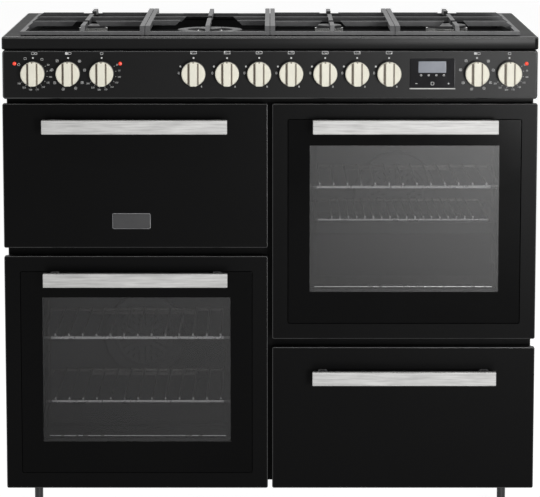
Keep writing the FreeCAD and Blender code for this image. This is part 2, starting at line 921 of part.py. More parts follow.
def fan_blade(label, front):
    """A hub with straight blades on a back disc, on the motor's shaft."""
    middle, z = FRONTS[front][0], fan_z(front)
    front_y = "cavity_back - fan_gap - fan_wide"
    hub = rod(label + "_hub", "Y", (middle, front_y, z), "fan_hub_radius", "fan_wide")
    disc = rod(label + "_disc", "Y", (middle, "cavity_back - fan_gap - blade_thick", z),
               "fan_radius", "blade_thick")
    shaft = rod(label + "_shaft", "Y", (middle, "cavity_back - fan_gap - blade_thick", z),
                "fan_shaft_radius",
                "fan_gap + blade_thick + cavity_wall + motor_gap + motor_long / 2")
    pieces = [hub, disc, shaft]
    count = int(size("blade_count"))
    for step in range(count):
        blade = doc.addObject("Part::Box", f"{label}_{step}")
        bind(blade, "Length", "fan_radius - fan_hub_radius / 2")
        bind(blade, "Width", "fan_wide")
        bind(blade, "Height", "blade_thick")
        angle = math.radians(step * 360 / count)
        blade.Placement = FreeCAD.Placement(V(), FreeCAD.Rotation(V(0, 1, 0), -math.degrees(angle)))
        bind(blade, "Placement.Base.x", f"{middle} + fan_hub_radius / 2 * {math.cos(angle):.9f}")
        bind(blade, "Placement.Base.y", front_y)
        bind(blade, "Placement.Base.z", f"{z} + fan_hub_radius / 2 * {math.sin(angle):.9f}")
        pieces.append(blade)
    return fuse(label, *pieces)


covers, motors, elements = [], [], []
for front, middle in FANS.items():
    keep(fan_blade(f"fan_blade_{front}", front))
    z = fan_z(front)
    cover_front = "cavity_back - fan_cover_deep"
    drum = rod(f"cover_{front}_drum", "Y", (middle, cover_front, z), "fan_cover_radius",
               "fan_cover_deep")
    room = rod(f"cover_{front}_room", "Y", (middle, f"{cover_front} + fan_cover_wall", z),
               "fan_cover_radius - fan_cover_wall", "fan_cover_deep")
    eye = rod(f"cover_{front}_eye", "Y", (middle, f"{cover_front} - 1", z), "fan_eye_radius",
              "fan_cover_wall + 2")
    covers.append(cut(f"cover_{front}", drum, room, eye))
    motor_y = "cavity_back + cavity_wall + motor_gap"
    case = rod(f"motor_{front}_case", "Y", (middle, motor_y, z), "motor_radius", "motor_long")
    foot = rod(f"motor_{front}_foot", "Y", (middle, "cavity_back + cavity_wall", z),
               "motor_radius - motor_foot", "motor_gap")
    bore = rod(f"motor_{front}_bore", "Y", (middle, "cavity_back", z),
               "fan_shaft_radius + shaft_clear",
               "cavity_wall + motor_gap + motor_long / 2 + pin_end_gap")
    motors.append(cut(f"motor_{front}", fuse(f"motor_{front}_body", case, foot), bore))
    ring = doc.addObject("Part::Torus", f"ring_{front}")
    bind(ring, "Radius1", "ring_radius")
    bind(ring, "Radius2", "ring_tube")
    elements.append(put(ring, middle, "cavity_back - fan_gap - fan_wide / 2", z, TURNS["Y"]))
keep(group("fan_covers", *covers))
keep(group("fan_motors", *motors))


def grill_element():
    """One tube that runs to and fro under the grill cavity's roof."""
    rows = int(size("element_rows"))
    pitch, tube = size("element_pitch"), size("element_tube")
    z = size("upper_left") + size("door_short") - size("cavity_top") - size("element_drop")
    turn = pitch / 2
    front_y = size("face_back") + size("rack_front_gap") + turn + tube
    back_y = size("cavity_back")
    far_y = back_y - size("rack_front_gap") - turn - tube
    first_x = -size("column") - (rows - 1) * pitch / 2
    edges = []
    x = first_x
    at_back = V(x, back_y, z)
    for row in range(rows):
        forward = row % 2 == 0
        end_y = front_y if forward else far_y
        if row == rows - 1:
            end_y = back_y
        end = V(x, end_y, z)
        edges.append(Part.LineSegment(at_back, end).toShape())
        if row == rows - 1:
            break
        bulge = -turn if forward else turn
        after = V(x + pitch, end_y, z)
        edges.append(Part.Arc(end, V(x + turn, end_y + bulge, z), after).toShape())
        at_back = after
        x += pitch
    wire = Part.Wire(edges)
    circle = Part.Wire([Part.Circle(V(first_x, back_y, z), V(0, 1, 0), tube).toShape()])
    piece = doc.addObject("Part::Feature", "grill_element")
    piece.Shape = wire.makePipeShell([circle], True, False)
    return piece


keep(group("heating_elements", *elements, grill_element()))


def rack_x(middle, sign):
    return f"{middle} {sign} (cavity_half - rack_gap)"


racks = []
for front, middle in FANS.items():
    low = f"{FRONTS[front][1]} + cavity_low"
    start = "face_back + rack_front_gap"
    end = "cavity_back - rack_rear_gap"
    for number, sign in enumerate("-+", 1):
        name = f"rack_{front}_{number}"
        x = rack_x(middle, sign)
        pieces = [
            rod(f"{name}_upright_{end_name}", "Z", (x, y, f"{low} + rack_start / 2"), "rack_upright",
                "rack_start / 2 + (rack_count - 1) * rack_pitch + rack_upright")
            for end_name, y in (("front", start), ("rear", end))
        ]
        for step in range(int(size("rack_count"))):
            pieces.append(rod(f"{name}_rung_{step}", "Y",
                              (x, start, f"{low} + rack_start + {step} * rack_pitch"),
                              "rack_rod", f"{end} - ({start})"))
        racks.append(fuse(name, *pieces))
keep(group("side_racks", *racks))


def grid(name, middle, z, count, pitch, half):
    """A wire shelf: a round frame with wires laid across it from front to back."""
    front_y = "face_back + shelf_front_gap + shelf_rod"
    rear_y = "cavity_back - rack_rear_gap"
    pieces = []
    for end, y in (("front", front_y), ("rear", rear_y)):
        pieces.append(rod(f"{name}_{end}", "X", (f"{middle} - ({half})", y, z), "shelf_rod",
                          f"2 * ({half})"))
    for number, sign in enumerate("-+", 1):
        pieces.append(rod(f"{name}_side_{number}", "Y", (f"{middle} {sign} ({half})", front_y, z),
                          "shelf_rod", f"{rear_y} - ({front_y})"))
    for step in range(int(size(count))):
        x = f"{middle} + ({step} - ({count} - 1) / 2) * {pitch}"
        pieces.append(rod(f"{name}_wire_{step}", "Y", (x, front_y, f"{z} + shelf_rod"), "shelf_wire",
                          f"{rear_y} - ({front_y})"))
    return fuse(name, *pieces)


shelf_half = "cavity_half - rack_gap - rack_upright - shelf_rod - 1"
shelves = [
    grid("shelf_left_low", LEFT, "plinth_gap + cavity_low + shelf_low_height",
         "shelf_count", "shelf_pitch", shelf_half),
    grid("shelf_left_high", LEFT, "plinth_gap + cavity_low + shelf_high_height",
         "shelf_count", "shelf_pitch", shelf_half),
    grid("shelf_right", RIGHT, "upper_right + cavity_low + shelf_right_height",
         "shelf_count", "shelf_pitch", shelf_half),
]
keep(group("oven_shelves", *shelves))


def pan(label, middle, rim_z, deep):
    """A pressed tray with a flat rim."""
    front_y, rear_y = "face_back + rack_front_gap", "cavity_back - rack_rear_gap"
    half = shelf_half
    tray = block(label + "_outer", span(middle, f"{half} - tray_rim"),
                 (f"{front_y} + tray_rim", f"{rear_y} - tray_rim"), (f"{rim_z} - {deep}", rim_z))
    rim = block(label + "_rim", span(middle, half), (front_y, rear_y),
                (f"{rim_z} - tray_wall", rim_z))
    room = block(label + "_room", span(middle, f"{half} - tray_rim - tray_wall"),
                 (f"{front_y} + tray_rim + tray_wall", f"{rear_y} - tray_rim - tray_wall"),
                 (f"{rim_z} - {deep} + tray_wall", f"{rim_z} + 1"))
    return cut(label, fuse(label + "_body", tray, rim), room)


tray_z = "upper_right + cavity_low + tray_height"
keep(group(
    "pans_and_trivet",
    pan("grill_pan", LEFT, "upper_left + cavity_low + grill_pan_height", "grill_pan_deep"),
    pan("roasting_tray", RIGHT, tray_z, "tray_deep"),
    grid("trivet", RIGHT, f"{tray_z} + shelf_rod", "trivet_wires", "trivet_pitch",
         f"{shelf_half} - tray_rim - tray_wall - shelf_rod"),
))

# ---------------------------------------------------------------------------------------------
# Hob top and burners
# ---------------------------------------------------------------------------------------------
BURNERS = {
    # name: (pan support counted from the left, place along it, ring radius)
    "left_front": (0, "grate_front_burner", "rapid_radius"),
    "left_rear": (0, "grate_rear_burner", "small_radius"),
    "wok": (1, "grate_middle", "wok_radius"),
    "centre_front": (2, "grate_front_burner", "medium_radius"),
    "centre_rear": (2, "grate_rear_burner", "small_radius"),
    "right_front": (3, "grate_front_burner", "medium_radius"),
    "right_rear": (3, "grate_rear_burner", "medium_radius"),
}


def grate_x(number):
    return f"({number} - (grate_count - 1) / 2) * grate_pitch"


def burner_place(name):
    number, depth, radius = BURNERS[name]
    return grate_x(number), f"grate_y + {depth}", radius


def hob():
    """Pressed sheet: a turned-down rim round a sunken basin with a hole for each burner."""
    body = doc.addObject("PartDesign::Body", "hob_pressing")
    outline = rectangle(span("0", "hob_width / 2"), ("hob_front", "hob_back"))
    sketch = body_sketch(body, "hob_outline", "XY_Plane", "hob_low", [outline])
    slab = pad(body, "hob_slab", sketch, "fascia_high")
    corners = round_edges(body, "hob_corners", slab,
                          stands,
                          "hob_corner")
    round_edges(body, "hob_brow", corners, lambda edge: lies_at(edge, "Z", size("rim_top")),
                "sheet * 1.5")
    below = block("hob_below", span("0", "hob_width / 2 - sheet * 2"),
                  ("hob_front + sheet * 2", "hob_back - sheet * 2"),
                  ("hob_low - 1", "rim_top - sheet"))
    wall = block("basin_wall", span("0", "basin_half + sheet"),
                 ("basin_front - sheet", "basin_back + sheet"), ("hob_low", "rim_top - sheet"))
    hollow = doc.addObject("PartDesign::Body", "basin_hollow")
    sketch = body_sketch(hollow, "basin_outline", "XY_Plane", "basin_floor",
                         [rectangle(span("0", "basin_half"), ("basin_front", "basin_back"))])
    room = pad(hollow, "basin_room", sketch, "fascia_high")
    round_edges(hollow, "basin_corners", room,
                stands, "basin_corner")
    holes = [
        rod(f"hob_hole_{name}", "Z", (*burner_place(name)[:2], "hob_low - 1"),
            "cup_radius + hob_hole_clear", "sheet + 2")
        for name in BURNERS
    ]
    shell = cut("hob_shell", body, below)
    return cut("hob_top", fuse("hob_and_basin", shell, wall), hollow, *holes)


keep(hob())


def burner_section(label, radius):
    """From the cup under the hob, through its hole, to the flange and the head on it."""
    flange = f"{radius} + burner_flange"
    return lathe_profile(label, [
        ("0", "-cup_deep"), ("cup_radius", "-cup_deep"), ("cup_radius", "0"), (flange, "0"),
        (flange, "sheet"), (radius, "sheet"), (f"{radius} - sheet", "sheet * 2"),
        (radius, "burner_head_high * 0.6"),
        (radius, "burner_head_high"), ("0", "burner_head_high"),
    ])


def cap_section(label, radius):
    lip = f"{radius} - cap_lip"
    return lathe_profile(label, [
        ("0", "0"), (lip, "0"), (lip, "burner_cap_high * 0.6"), (f"{lip} - sheet * 1.5",
        "burner_cap_high"), ("0", "burner_cap_high"),
    ])


RING_KINDS = ("rapid_radius", "medium_radius", "small_radius", "wok_radius")
burner_profiles = {kind: burner_section("burner_" + kind, kind) for kind in RING_KINDS}
cap_profiles = {kind: cap_section("cap_" + kind, kind) for kind in RING_KINDS}
wok_inner_cap = cap_section("cap_wok_inner", "wok_inner_radius")

heads, caps, igniters = [], [], []
for name in BURNERS:
    x, y, radius = burner_place(name)
    heads.append(turned(f"burner_{name}", burner_profiles[radius], x, y, "basin_floor"))
    cap_z = "basin_floor + burner_head_high"
    caps.append(turned(f"cap_{name}", cap_profiles[radius], x, y, cap_z))
    if name == "wok":
        caps.append(turned("cap_wok_middle", wok_inner_cap, x, y, f"{cap_z} + burner_cap_high"))
    beside = f"({radius} + burner_flange / 2) * 0.70710678"
    for kind, sign, thick in (("igniter", "-", "igniter_radius"), ("sensor", "+", "sensor_radius")):
        igniters.append(rod(f"{kind}_{name}", "Z",
                            (f"{x} {sign} {beside}", f"{y} + {beside}", "basin_floor + sheet"),
                            thick, "igniter_high"))
keep(group("burner_heads", *heads))
keep(group("burner_caps", *caps))
keep(group("igniters", *igniters))

# ---------------------------------------------------------------------------------------------
# Pan supports
# ---------------------------------------------------------------------------------------------

def finger(label, plane, at, way, start, end, rise_at_start, tips):
    """A finger with its flat top in the pans' plane, drawn in its own length and height.

    way is +1 where it runs along the positive axis and -1 where it runs back. It climbs from the
    low frame bar where rise_at_start is true, and its free ends are cut back below.
    """
    sign = "+" if way > 0 else "-"
    under = "finger_top - finger_deep"

    def along(text):
        return f"{start} {sign} ({text})"

    length = f"({end}) - ({start})" if way > 0 else f"({start}) - ({end})"
    if rise_at_start:
        corners = [
            (along("0"), "pad_high"), (along("0"), "bar_low_top"),
            (along("bar_wide / 2"), "bar_low_top"), (along("bar_wide / 2 + rise_run"), "finger_top"),
        ]
        foot = [(along("bar_wide + rise_run"), under), (along("bar_wide"), "pad_high")]
    elif "start" in tips:
        corners = [(along("tip_cut"), under), (along("0"), "finger_top")]
        foot = []
    else:
        corners = [(along("0"), under), (along("0"), "finger_top")]
        foot = []
    if "end" in tips:
        corners += [(along(length), "finger_top"), (along(f"{length} - tip_cut"), under)]
    else:
        corners += [(along(length), "finger_top"), (along(length), under)]
    return prism(label, plane, [corners + foot], at, "finger_wide")


def bridge(label, at):
    """A side bar that stands at full height between two pan supports, on legs at its ends."""
    under = "finger_top - bar_wide"
    corners = [
        ("0", "pad_high"), ("0", "bar_low_top"), ("bridge_rise", "finger_top"),
        ("grate_deep - bridge_rise", "finger_top"), ("grate_deep", "bar_low_top"),
        ("grate_deep", "pad_high"), ("grate_deep - bar_wide - 2", "pad_high"),
        ("grate_deep - bar_wide - bridge_rise", under), ("bar_wide + bridge_rise", under),
        ("bar_wide + 2", "pad_high"),
    ]
    return prism(label, "YZ", [corners], at, "bar_wide")


def pan_support(label, number):
    middle = grate_x(number)
    west, east = f"{middle} - grate_wide / 2", f"{middle} + grate_wide / 2"
    south, north = "grate_y", "grate_y + grate_deep"
    level = ("rim_top + pad_high", "rim_top + bar_low_top")
    wok = number == 1
    pieces = [
        block(f"{label}_front_bar", (west, east), (south, f"{south} + bar_wide"), level),
        block(f"{label}_rear_bar", (west, east), (f"{north} - bar_wide", north), level),
    ]
    for side, outer, x in (("west", number == 0, west), ("east", number == 3, f"{east} - bar_wide")):
        if outer:
            pieces.append(block(f"{label}_{side}_bar", (x, f"{x} + bar_wide"), (south, north), level))
        else:
            pieces.append(bridge(f"{label}_{side}_bar", (x, south, "rim_top")))
    depths = ["grate_middle"] if wok else ["grate_front_burner", "grate_rear_burner"]
    gap = "wok_side_gap" if wok else "side_finger_gap"
    for step, depth in enumerate(depths):
        at = ("0", f"{south} + {depth} + finger_wide / 2", "rim_top")
        pieces.append(finger(f"{label}_west_finger_{step}", "XZ", at, 1, west,
                             f"{middle} - {gap} / 2", number == 0, ("end",)))
        pieces.append(finger(f"{label}_east_finger_{step}", "XZ", at, -1, east,
                             f"{middle} + {gap} / 2", number == 3, ("end",)))
    along = (f"{middle} - finger_wide / 2", south, "rim_top")
    front_end, rear_start = (
        ("wok_front_end", "wok_rear_start") if wok else ("front_finger_end", "rear_finger_start"))
    pieces.append(finger(f"{label}_front_finger", "YZ", along, 1, "0", front_end, True, ("end",)))
    pieces.append(finger(f"{label}_rear_finger", "YZ", along, -1, "grate_deep", rear_start, True,
                         ("end",)))
    if wok:
        for step, (depth, place) in enumerate((
            ("wok_cross_bar", f"{south} + wok_cross_bar"),
            ("wok_cross_bar", f"{north} - wok_cross_bar"),
        )):
            at = ("0", f"{place} + finger_wide / 2", "rim_top")
            pieces.append(finger(f"{label}_west_prong_{step}", "XZ", at, 1, west,
                                 f"{west} + wok_cross_long", False, ("end",)))
            pieces.append(finger(f"{label}_east_prong_{step}", "XZ", at, -1, east,
                                 f"{east} - wok_cross_long", False, ("end",)))
    else:
        at = ("0", f"{south} + grate_middle + finger_wide / 2", "rim_top")
        pieces.append(finger(f"{label}_cross_west", "XZ", at, 1, west, middle, number == 0, ()))
        pieces.append(finger(f"{label}_cross_east", "XZ", at, -1, east, middle, number == 3, ()))
        pieces.append(finger(f"{label}_middle_finger", "YZ", along, 1, "middle_finger_start",
                             "middle_finger_end", False, ("start", "end")))
    pads = []
    for row, y in (("front", f"{south} + bar_wide / 2"), ("rear", f"{north} - bar_wide / 2")):
        for column, x in (("west", f"{west} + bar_wide / 2"), ("middle", middle),
                          ("east", f"{east} - bar_wide / 2")):
            pads.append(rod(f"{label}_pad_{row}_{column}", "Z", (x, y, "rim_top"), "pad_radius",
                            "pad_high"))
    return fuse(label, *pieces, *pads)


for number, name in enumerate(("left", "wok", "centre", "right")):
    keep(pan_support(f"pan_support_{name}", number))

# ---------------------------------------------------------------------------------------------
# Control panel, knobs, taps and switches
# ---------------------------------------------------------------------------------------------
KNOBS = {
    # name: (place across the panel, whether it works a gas tap)
    "grill": ("-panel_half + grill_knob_in", False),
    "left_oven_mode": ("-panel_half + left_mode_knob_in", False),
    "left_oven_heat": ("-panel_half + left_heat_knob_in", False),
    "left_front": ("panel_half - left_front_knob_in", True),
    "left_rear": ("panel_half - left_rear_knob_in", True),
    "wok": ("panel_half - wok_knob_in", True),
    "centre_rear": ("panel_half - centre_rear_knob_in", True),
    "centre_front": ("panel_half - centre_front_knob_in", True),
    "right_rear": ("panel_half - right_rear_knob_in", True),
    "right_front": ("panel_half - right_front_knob_in", True),
    "right_oven_mode": ("panel_half - right_mode_knob_in", False),
    "right_oven_heat": ("panel_half - right_heat_knob_in", False),
}
FIRST_GAS, LAST_GAS = KNOBS["left_front"][0], KNOBS["right_front"][0]
NEONS = ("-panel_half + grill_neon_in", "-panel_half + left_neon_in", "panel_half - right_neon_in")


def control_panel():
    """A pressed channel, open at the back, with holes for spindles, neons and the timer."""
    body = doc.addObject("PartDesign::Body", "control_pressing")
    sketch = body_sketch(body, "control_outline", "XZ_Plane", "-face",
                         [rectangle(span("0", "panel_half"), ("panel_bottom", "panel_top"))])
    slab = pad(body, "control_slab", sketch, "face - panel_front")
    front = size("panel_front")
    edges = ((-size("panel_half"), size("panel_half")), (size("panel_bottom"), size("panel_top")))
    corners = round_edges(body, "control_corners", slab,
                          lambda edge: edge.BoundBox.YLength > 1, "panel_round")
    doc.recompute()
    round_edges(body, "control_eased", corners,
                lambda edge: lies_at(edge, "Y", front), "edge_round")
    hollow = block("control_hollow", span("0", "panel_half - sheet * 2"),
                   ("panel_front + sheet", "face + 1"),
                   ("panel_bottom + sheet * 2", "panel_top - sheet * 2"))
    tools = [hollow]
    for name, (x, _) in KNOBS.items():
        tools.append(rod(f"spindle_hole_{name}", "Y", (x, "panel_front - 1", "knob_z"),
                         "spindle_hole", "sheet + 2"))
    for number, x in enumerate(NEONS):
        tools.append(rod(f"neon_hole_{number}", "Y",
                         (x, "panel_front - 1", "panel_bottom + neon_high"),
                         "neon_radius + neon_fit", "sheet + 2"))
    tools.append(block("timer_hole", span("timer_side", "timer_wide / 2 - timer_lip"),
                       ("panel_front - 1", "panel_front + sheet + 1"),
                       span("knob_z", "timer_high / 2 - timer_lip")))
    return cut("control_panel", body, *tools)


keep(control_panel())


def knob(label, x):
    """A black skirt, a round face with a raised grip bar across it, and the spindle."""
    body = doc.addObject("PartDesign::Body", label)
    skirt_back = "panel_front - knob_gap"
    rings = (
        ("skirt", skirt_back, "knob_radius", "knob_skirt"),
        ("face", f"{skirt_back} - knob_skirt", "knob_face_radius", "knob_face"),
        ("spindle", "panel_front - knob_gap + spindle_long", "spindle_radius", "spindle_long"),
    )
    for ring, back, radius, length in rings:
        sketch = body_sketch(body, f"{label}_{ring}_circle", "XZ_Plane", f"-({back})",
                             [("0 + 0", "knob_z", radius)])
        pad(body, f"{label}_{ring}", sketch, length)
    grip = body_sketch(
        body, f"{label}_grip_outline", "XZ_Plane", f"-({skirt_back} - knob_skirt - knob_face)",
        [rectangle(span("0", "knob_grip_wide / 2"), span("knob_z", "knob_grip_half"))])
    pad(body, f"{label}_grip", grip, "knob_grip_proud")
    bind(body, "Placement.Base.x", x)
    return body


works = []
for name, (x, gas) in KNOBS.items():
    keep(knob(f"knob_{name}", x))
    case = block(f"case_{name}", span(x, "tap_wide / 2"), ("tap_front", "tap_back"),
                 span("knob_z", "tap_high / 2"))
    bore = rod(f"case_bore_{name}", "Y", (x, "tap_front - 1", "knob_z"), "tap_bore",
               "panel_front - knob_gap + spindle_long - tap_front + 2")
    works.append(cut(f"{'tap' if gas else 'switch'}_{name}", case, bore))
keep(group("taps_and_switches", *works))


def gas_pipes():
    """The rail under the taps, a pipe to each burner and the supply from the inlet at the back."""
    tap_back, knob_z = size("tap_back"), size("knob_z")
    radius, bend = size("pipe_radius"), size("pipe_bend")
    pieces = []
    gas = [(name, worked_out(x)) for name, (x, is_gas) in KNOBS.items() if is_gas]
    level = knob_z + size("pipe_rise")
    cup_z = size("basin_floor") - size("cup_deep")
    for name, x in gas:
        number, depth, _ = BURNERS[name]
        across = (number - (size("grate_count") - 1) / 2) * size("grate_pitch")
        burner = V(across, size("grate_y") + size(depth), level)
        start = V(x, tap_back, level)
        out = V(x, tap_back + size("pipe_lead"), level)
        pieces.append(pipe(f"pipe_{name}", [start, out, burner, V(burner.x, burner.y, cup_z)],
                           radius, bend))
    return pieces


def pipe(label, points, radius, bend):
    """A tube along straight runs with a round bend at each inner point."""
    edges = []
    here = points[0]
    for before, corner, after in zip(points, points[1:], points[2:]):
        into = (corner - before).normalize()
        out = (after - corner).normalize()
        half_turn = into.getAngle(out) / 2
        back = bend * math.tan(half_turn)
        arc_start = corner - into * back
        arc_end = corner + out * back
        inward = (out - into).normalize()
        centre = corner + inward * (bend / math.cos(half_turn))
        middle = centre - inward * bend
        edges.append(Part.LineSegment(here, arc_start).toShape())
        edges.append(Part.Arc(arc_start, middle, arc_end).toShape())
        here = arc_end
    edges.append(Part.LineSegment(here, points[-1]).toShape())
    first = (points[1] - points[0]).normalize()
    circle = Part.Wire([Part.Circle(points[0], first, radius).toShape()])
    piece = doc.addObject("Part::Feature", label)
    piece.Shape = Part.Wire(edges).makePipeShell([circle], True, False)
    return piece


rail_z = "knob_z - tap_high / 2 - rail_radius"
rail_y = "tap_front + tap_deep / 2"
rail = rod("rail_tube", "X", (f"{FIRST_GAS} - tap_wide", rail_y, rail_z), "rail_radius",
           f"{LAST_GAS} - ({FIRST_GAS}) + 2 * tap_wide")
inlet_x = "body_half - inlet_side"
supply_end = [
    V(worked_out(LAST_GAS) + size("tap_wide"), size("tap_front") + size("tap_deep") / 2,
      size("knob_z") - size("tap_high") / 2 - size("rail_radius")),
]
corner_x = size("body_half") - size("inlet_side")
behind_y = (size("cavity_back") + size("cavity_wall") + size("body_back")) / 2
supply_end += [
    V(corner_x, supply_end[0].y, supply_end[0].z),
    V(corner_x, behind_y, supply_end[0].z),
    V(corner_x, behind_y, size("inlet_high")),
    V(corner_x, size("body_back") - size("sheet"), size("inlet_high")),
]
supply = pipe("supply_pipe", supply_end, size("pipe_radius") * 1.5, size("pipe_bend") * 1.5)
inlet = rod("inlet_stub", "Y", (inlet_x, "body_back", "inlet_high"), "inlet_radius", "inlet_long")
keep(group("gas_pipework", rail, *gas_pipes(), supply, inlet))

timer_body = block("timer_case", span("timer_side", "timer_wide / 2 - timer_lip - timer_fit"),
                   ("panel_front", "panel_front + timer_deep"),
                   span("knob_z", "timer_high / 2 - timer_lip - timer_fit"))
timer_bezel = block("timer_bezel", span("timer_side", "timer_wide / 2"),
                    ("panel_front - timer_proud", "panel_front"), span("knob_z", "timer_high / 2"))
keep(fuse("timer_module", timer_bezel, timer_body))
keep(group("neon_lenses", *[
    rod(f"neon_{number}", "Y", (x, "panel_front - neon_proud", "panel_bottom + neon_high"),
        "neon_radius", "neon_long")
    for number, x in enumerate(NEONS)
]))

# ---------------------------------------------------------------------------------------------
# Mains terminal box on the back
# ---------------------------------------------------------------------------------------------
terminal_x = "-body_half + terminal_side"
terminal = block("terminal_case", span(terminal_x, "terminal_wide / 2"),
                 ("body_back", "body_back + terminal_deep"),
                 ("body_bottom + terminal_lift", "body_bottom + terminal_lift + terminal_high"))
terminal_room = block(
    "terminal_room", span(terminal_x, "terminal_wide / 2 - terminal_wall"),
    ("body_back + terminal_wall", "body_back + terminal_deep - terminal_wall"),
    ("body_bottom + terminal_lift + terminal_wall",
     "body_bottom + terminal_lift + terminal_high - terminal_wall"))
cable_hole = rod("cable_hole", "Z",
                 (terminal_x, "body_back + terminal_deep / 2", "body_bottom + terminal_lift - 1"),
                 "cable_radius", "terminal_wall + 2")
keep(cut("terminal_box", terminal, terminal_room, cable_hole))

# ---------------------------------------------------------------------------------------------
# Checks and export
# ---------------------------------------------------------------------------------------------
doc.recompute()
faults = [piece.Label for piece in doc.Objects
          if "Invalid" in piece.State or "Error" in piece.State]
for piece in NODES:
    shape = piece.Shape
    if shape.isNull() or not shape.isValid() or not shape.Solids:
        faults.append(piece.Label + " shape")
if faults:
    raise SystemExit("failed: " + ", ".join(faults))

os.makedirs("parts", exist_ok=True)
whole = FreeCAD.BoundBox()
for piece in NODES:
    piece.Shape.exportStep(f"parts/{piece.Label}.step")
    whole.add(piece.Shape.BoundBox)
print(len(NODES), "pieces")
print("box", [round(value, 2) for value in (whole.XMin, whole.XMax, whole.YMin, whole.YMax,
                                             whole.ZMin, whole.ZMax)])
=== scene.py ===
"""Finish and fine shapes of a 1000 mm range cooker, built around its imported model.

Metres. +Z is up, the cooker's front faces -Y and +X is to the right of a person who faces it.
"""
import json
import math

import bmesh
import bpy
import numpy as np
from bpy.props import FloatProperty, FloatVectorProperty, IntProperty, PointerProperty
from bpy.types import Operator, Panel, PropertyGroup
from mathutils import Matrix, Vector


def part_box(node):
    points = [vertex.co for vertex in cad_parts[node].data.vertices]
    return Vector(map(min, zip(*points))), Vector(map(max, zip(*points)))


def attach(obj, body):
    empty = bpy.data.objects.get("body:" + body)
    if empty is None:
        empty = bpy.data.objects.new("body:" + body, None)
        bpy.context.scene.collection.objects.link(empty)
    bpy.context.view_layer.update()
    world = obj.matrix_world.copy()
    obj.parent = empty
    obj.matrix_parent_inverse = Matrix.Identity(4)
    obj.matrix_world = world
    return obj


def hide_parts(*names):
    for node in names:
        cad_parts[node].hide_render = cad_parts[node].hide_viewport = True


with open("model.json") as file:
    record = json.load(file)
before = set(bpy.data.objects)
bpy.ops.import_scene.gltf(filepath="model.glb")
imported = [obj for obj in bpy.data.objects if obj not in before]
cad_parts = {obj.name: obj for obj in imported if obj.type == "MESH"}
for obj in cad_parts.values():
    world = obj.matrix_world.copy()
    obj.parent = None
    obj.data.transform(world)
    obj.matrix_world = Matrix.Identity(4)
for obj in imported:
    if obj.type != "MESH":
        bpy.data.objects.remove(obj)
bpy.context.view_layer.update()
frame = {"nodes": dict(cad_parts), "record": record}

bl_info = {
    "name": "Range Cooker",
    "version": (1, 0, 0),
    "blender": (4, 5, 0),
    "location": "View3D > Sidebar > Range Cooker",
    "description": "Builds the visible pieces and finishes of a double-oven range cooker",
    "category": "Add Mesh",
}

MM = 0.001
SHARP = 0.05 * MM  # the least corner radius of an outline
LIP = 0.4 * MM  # a flat margin that keeps a face's shading level beside a rounded edge
SMOOTH_BELOW = math.radians(32)
OVENS = ("left", "right")
SUPPORTS = ("left", "wok", "centre", "right")


# ---------------------------------------------------------------------------------------------
# Sizes and colours that a user would change
# ---------------------------------------------------------------------------------------------
def length(name, text, millimetres):
    """A length that the sidebar shows, given in millimetres."""
    return FloatProperty(name=name, description=text, default=millimetres * MM, min=0.0,
                         unit="LENGTH", precision=5)


def colour(name, text, value):
    """A colour that the sidebar shows."""
    return FloatVectorProperty(name=name, description=text, default=value, size=3, min=0.0, max=1.0,
                               subtype="COLOR")


class CookerSizes(PropertyGroup):
    """Sizes of the fine shapes that a user would change."""

    panel_corner: length("Front corner", "Corner radius of the door and drawer fronts", 3.5)
    panel_edge: length("Front edge", "Rounded edge of the door and drawer fronts", 1.6)
    glass_thick: length("Glass", "Thickness of a pane", 4.0)
    glass_corner: length("Glass corner", "Corner radius of the outer panes", 3.0)
    band_side: length("Pane band", "Shaded band of the inner pane at its sides", 13.5)
    band_low: length("Pane band below", "Shaded band of the inner pane at its foot", 26.0)
    handle_bar: length("Handle bar", "Thickness of a handle's bar, front to back", 12.0)
    handle_edge: length("Handle edge", "Rounded edges of a handle's bar", 1.0)
    rim_round: length("Hob edge", "Rounding where the hob's top turns down", 4.0)
    hob_corner: length("Hob corner", "Corner radius of the hob", 8.0)
    basin_corner: length("Basin corner", "Corner radius of the hob's basin", 18.0)
    panel_round: length("Panel corner", "Corner radius of the control panel", 6.0)
    panel_brow: length("Panel edge", "Rounded front edge of the control panel", 3.0)
    knob_face: length("Knob face", "Radius of a knob's face", 22.3)
    knob_bar: length("Knob grip", "Width of the grip bar across a knob", 15.0)
    burner_rapid: length("Rapid burner", "Ring radius of the rapid burner", 48.0)
    burner_medium: length("Medium burner", "Ring radius of the medium burners", 41.0)
    burner_small: length("Small burner", "Ring radius of the small burners", 28.0)
    burner_wok: length("Wok burner", "Outer ring radius of the wok burner", 66.0)
    port_pitch: length("Flame port pitch", "Distance between flame ports round a burner", 5.0)
    shelf_rod: length("Shelf rod", "Radius of a shelf's frame rod", 3.0)
    shelf_wire: length("Shelf wire", "Radius of a shelf's wires", 1.75)
    shelf_wires: IntProperty(name="Shelf wires", description="Wires across a shelf", default=13, min=2)


class CookerColours(PropertyGroup):
    """Base colours of the finishes that show most."""

    paint: colour("Paint", "Black paint of the fronts and the panel", (0.0015, 0.0015, 0.0016))
    enamel: colour("Hob enamel", "Black enamel of the hob", (0.0045, 0.0045, 0.0047))
    grate: colour("Pan supports", "Satin enamel on the cast pan supports", (0.05, 0.05, 0.052))
    knob: colour("Knobs", "Cream face of the knobs", (0.80, 0.775, 0.66))
    # Painted shade: a dark brown that stands for the shadow in a knob's grooves and its notch.
    knob_groove_shade: colour("Knob grooves", "Brown shade beside a knob's grip", (0.13, 0.105, 0.08))
    steel: colour("Brushed steel", "Handles", (0.325, 0.323, 0.318))
    alloy: colour("Burner alloy", "Burner heads", (0.82, 0.82, 0.81))
    neon: colour("Neon lamps", "Red lenses of the neon lamps", (0.86, 0.05, 0.02))
    cavity: colour("Oven enamel", "Grey enamel inside the ovens", (0.045, 0.046, 0.049))


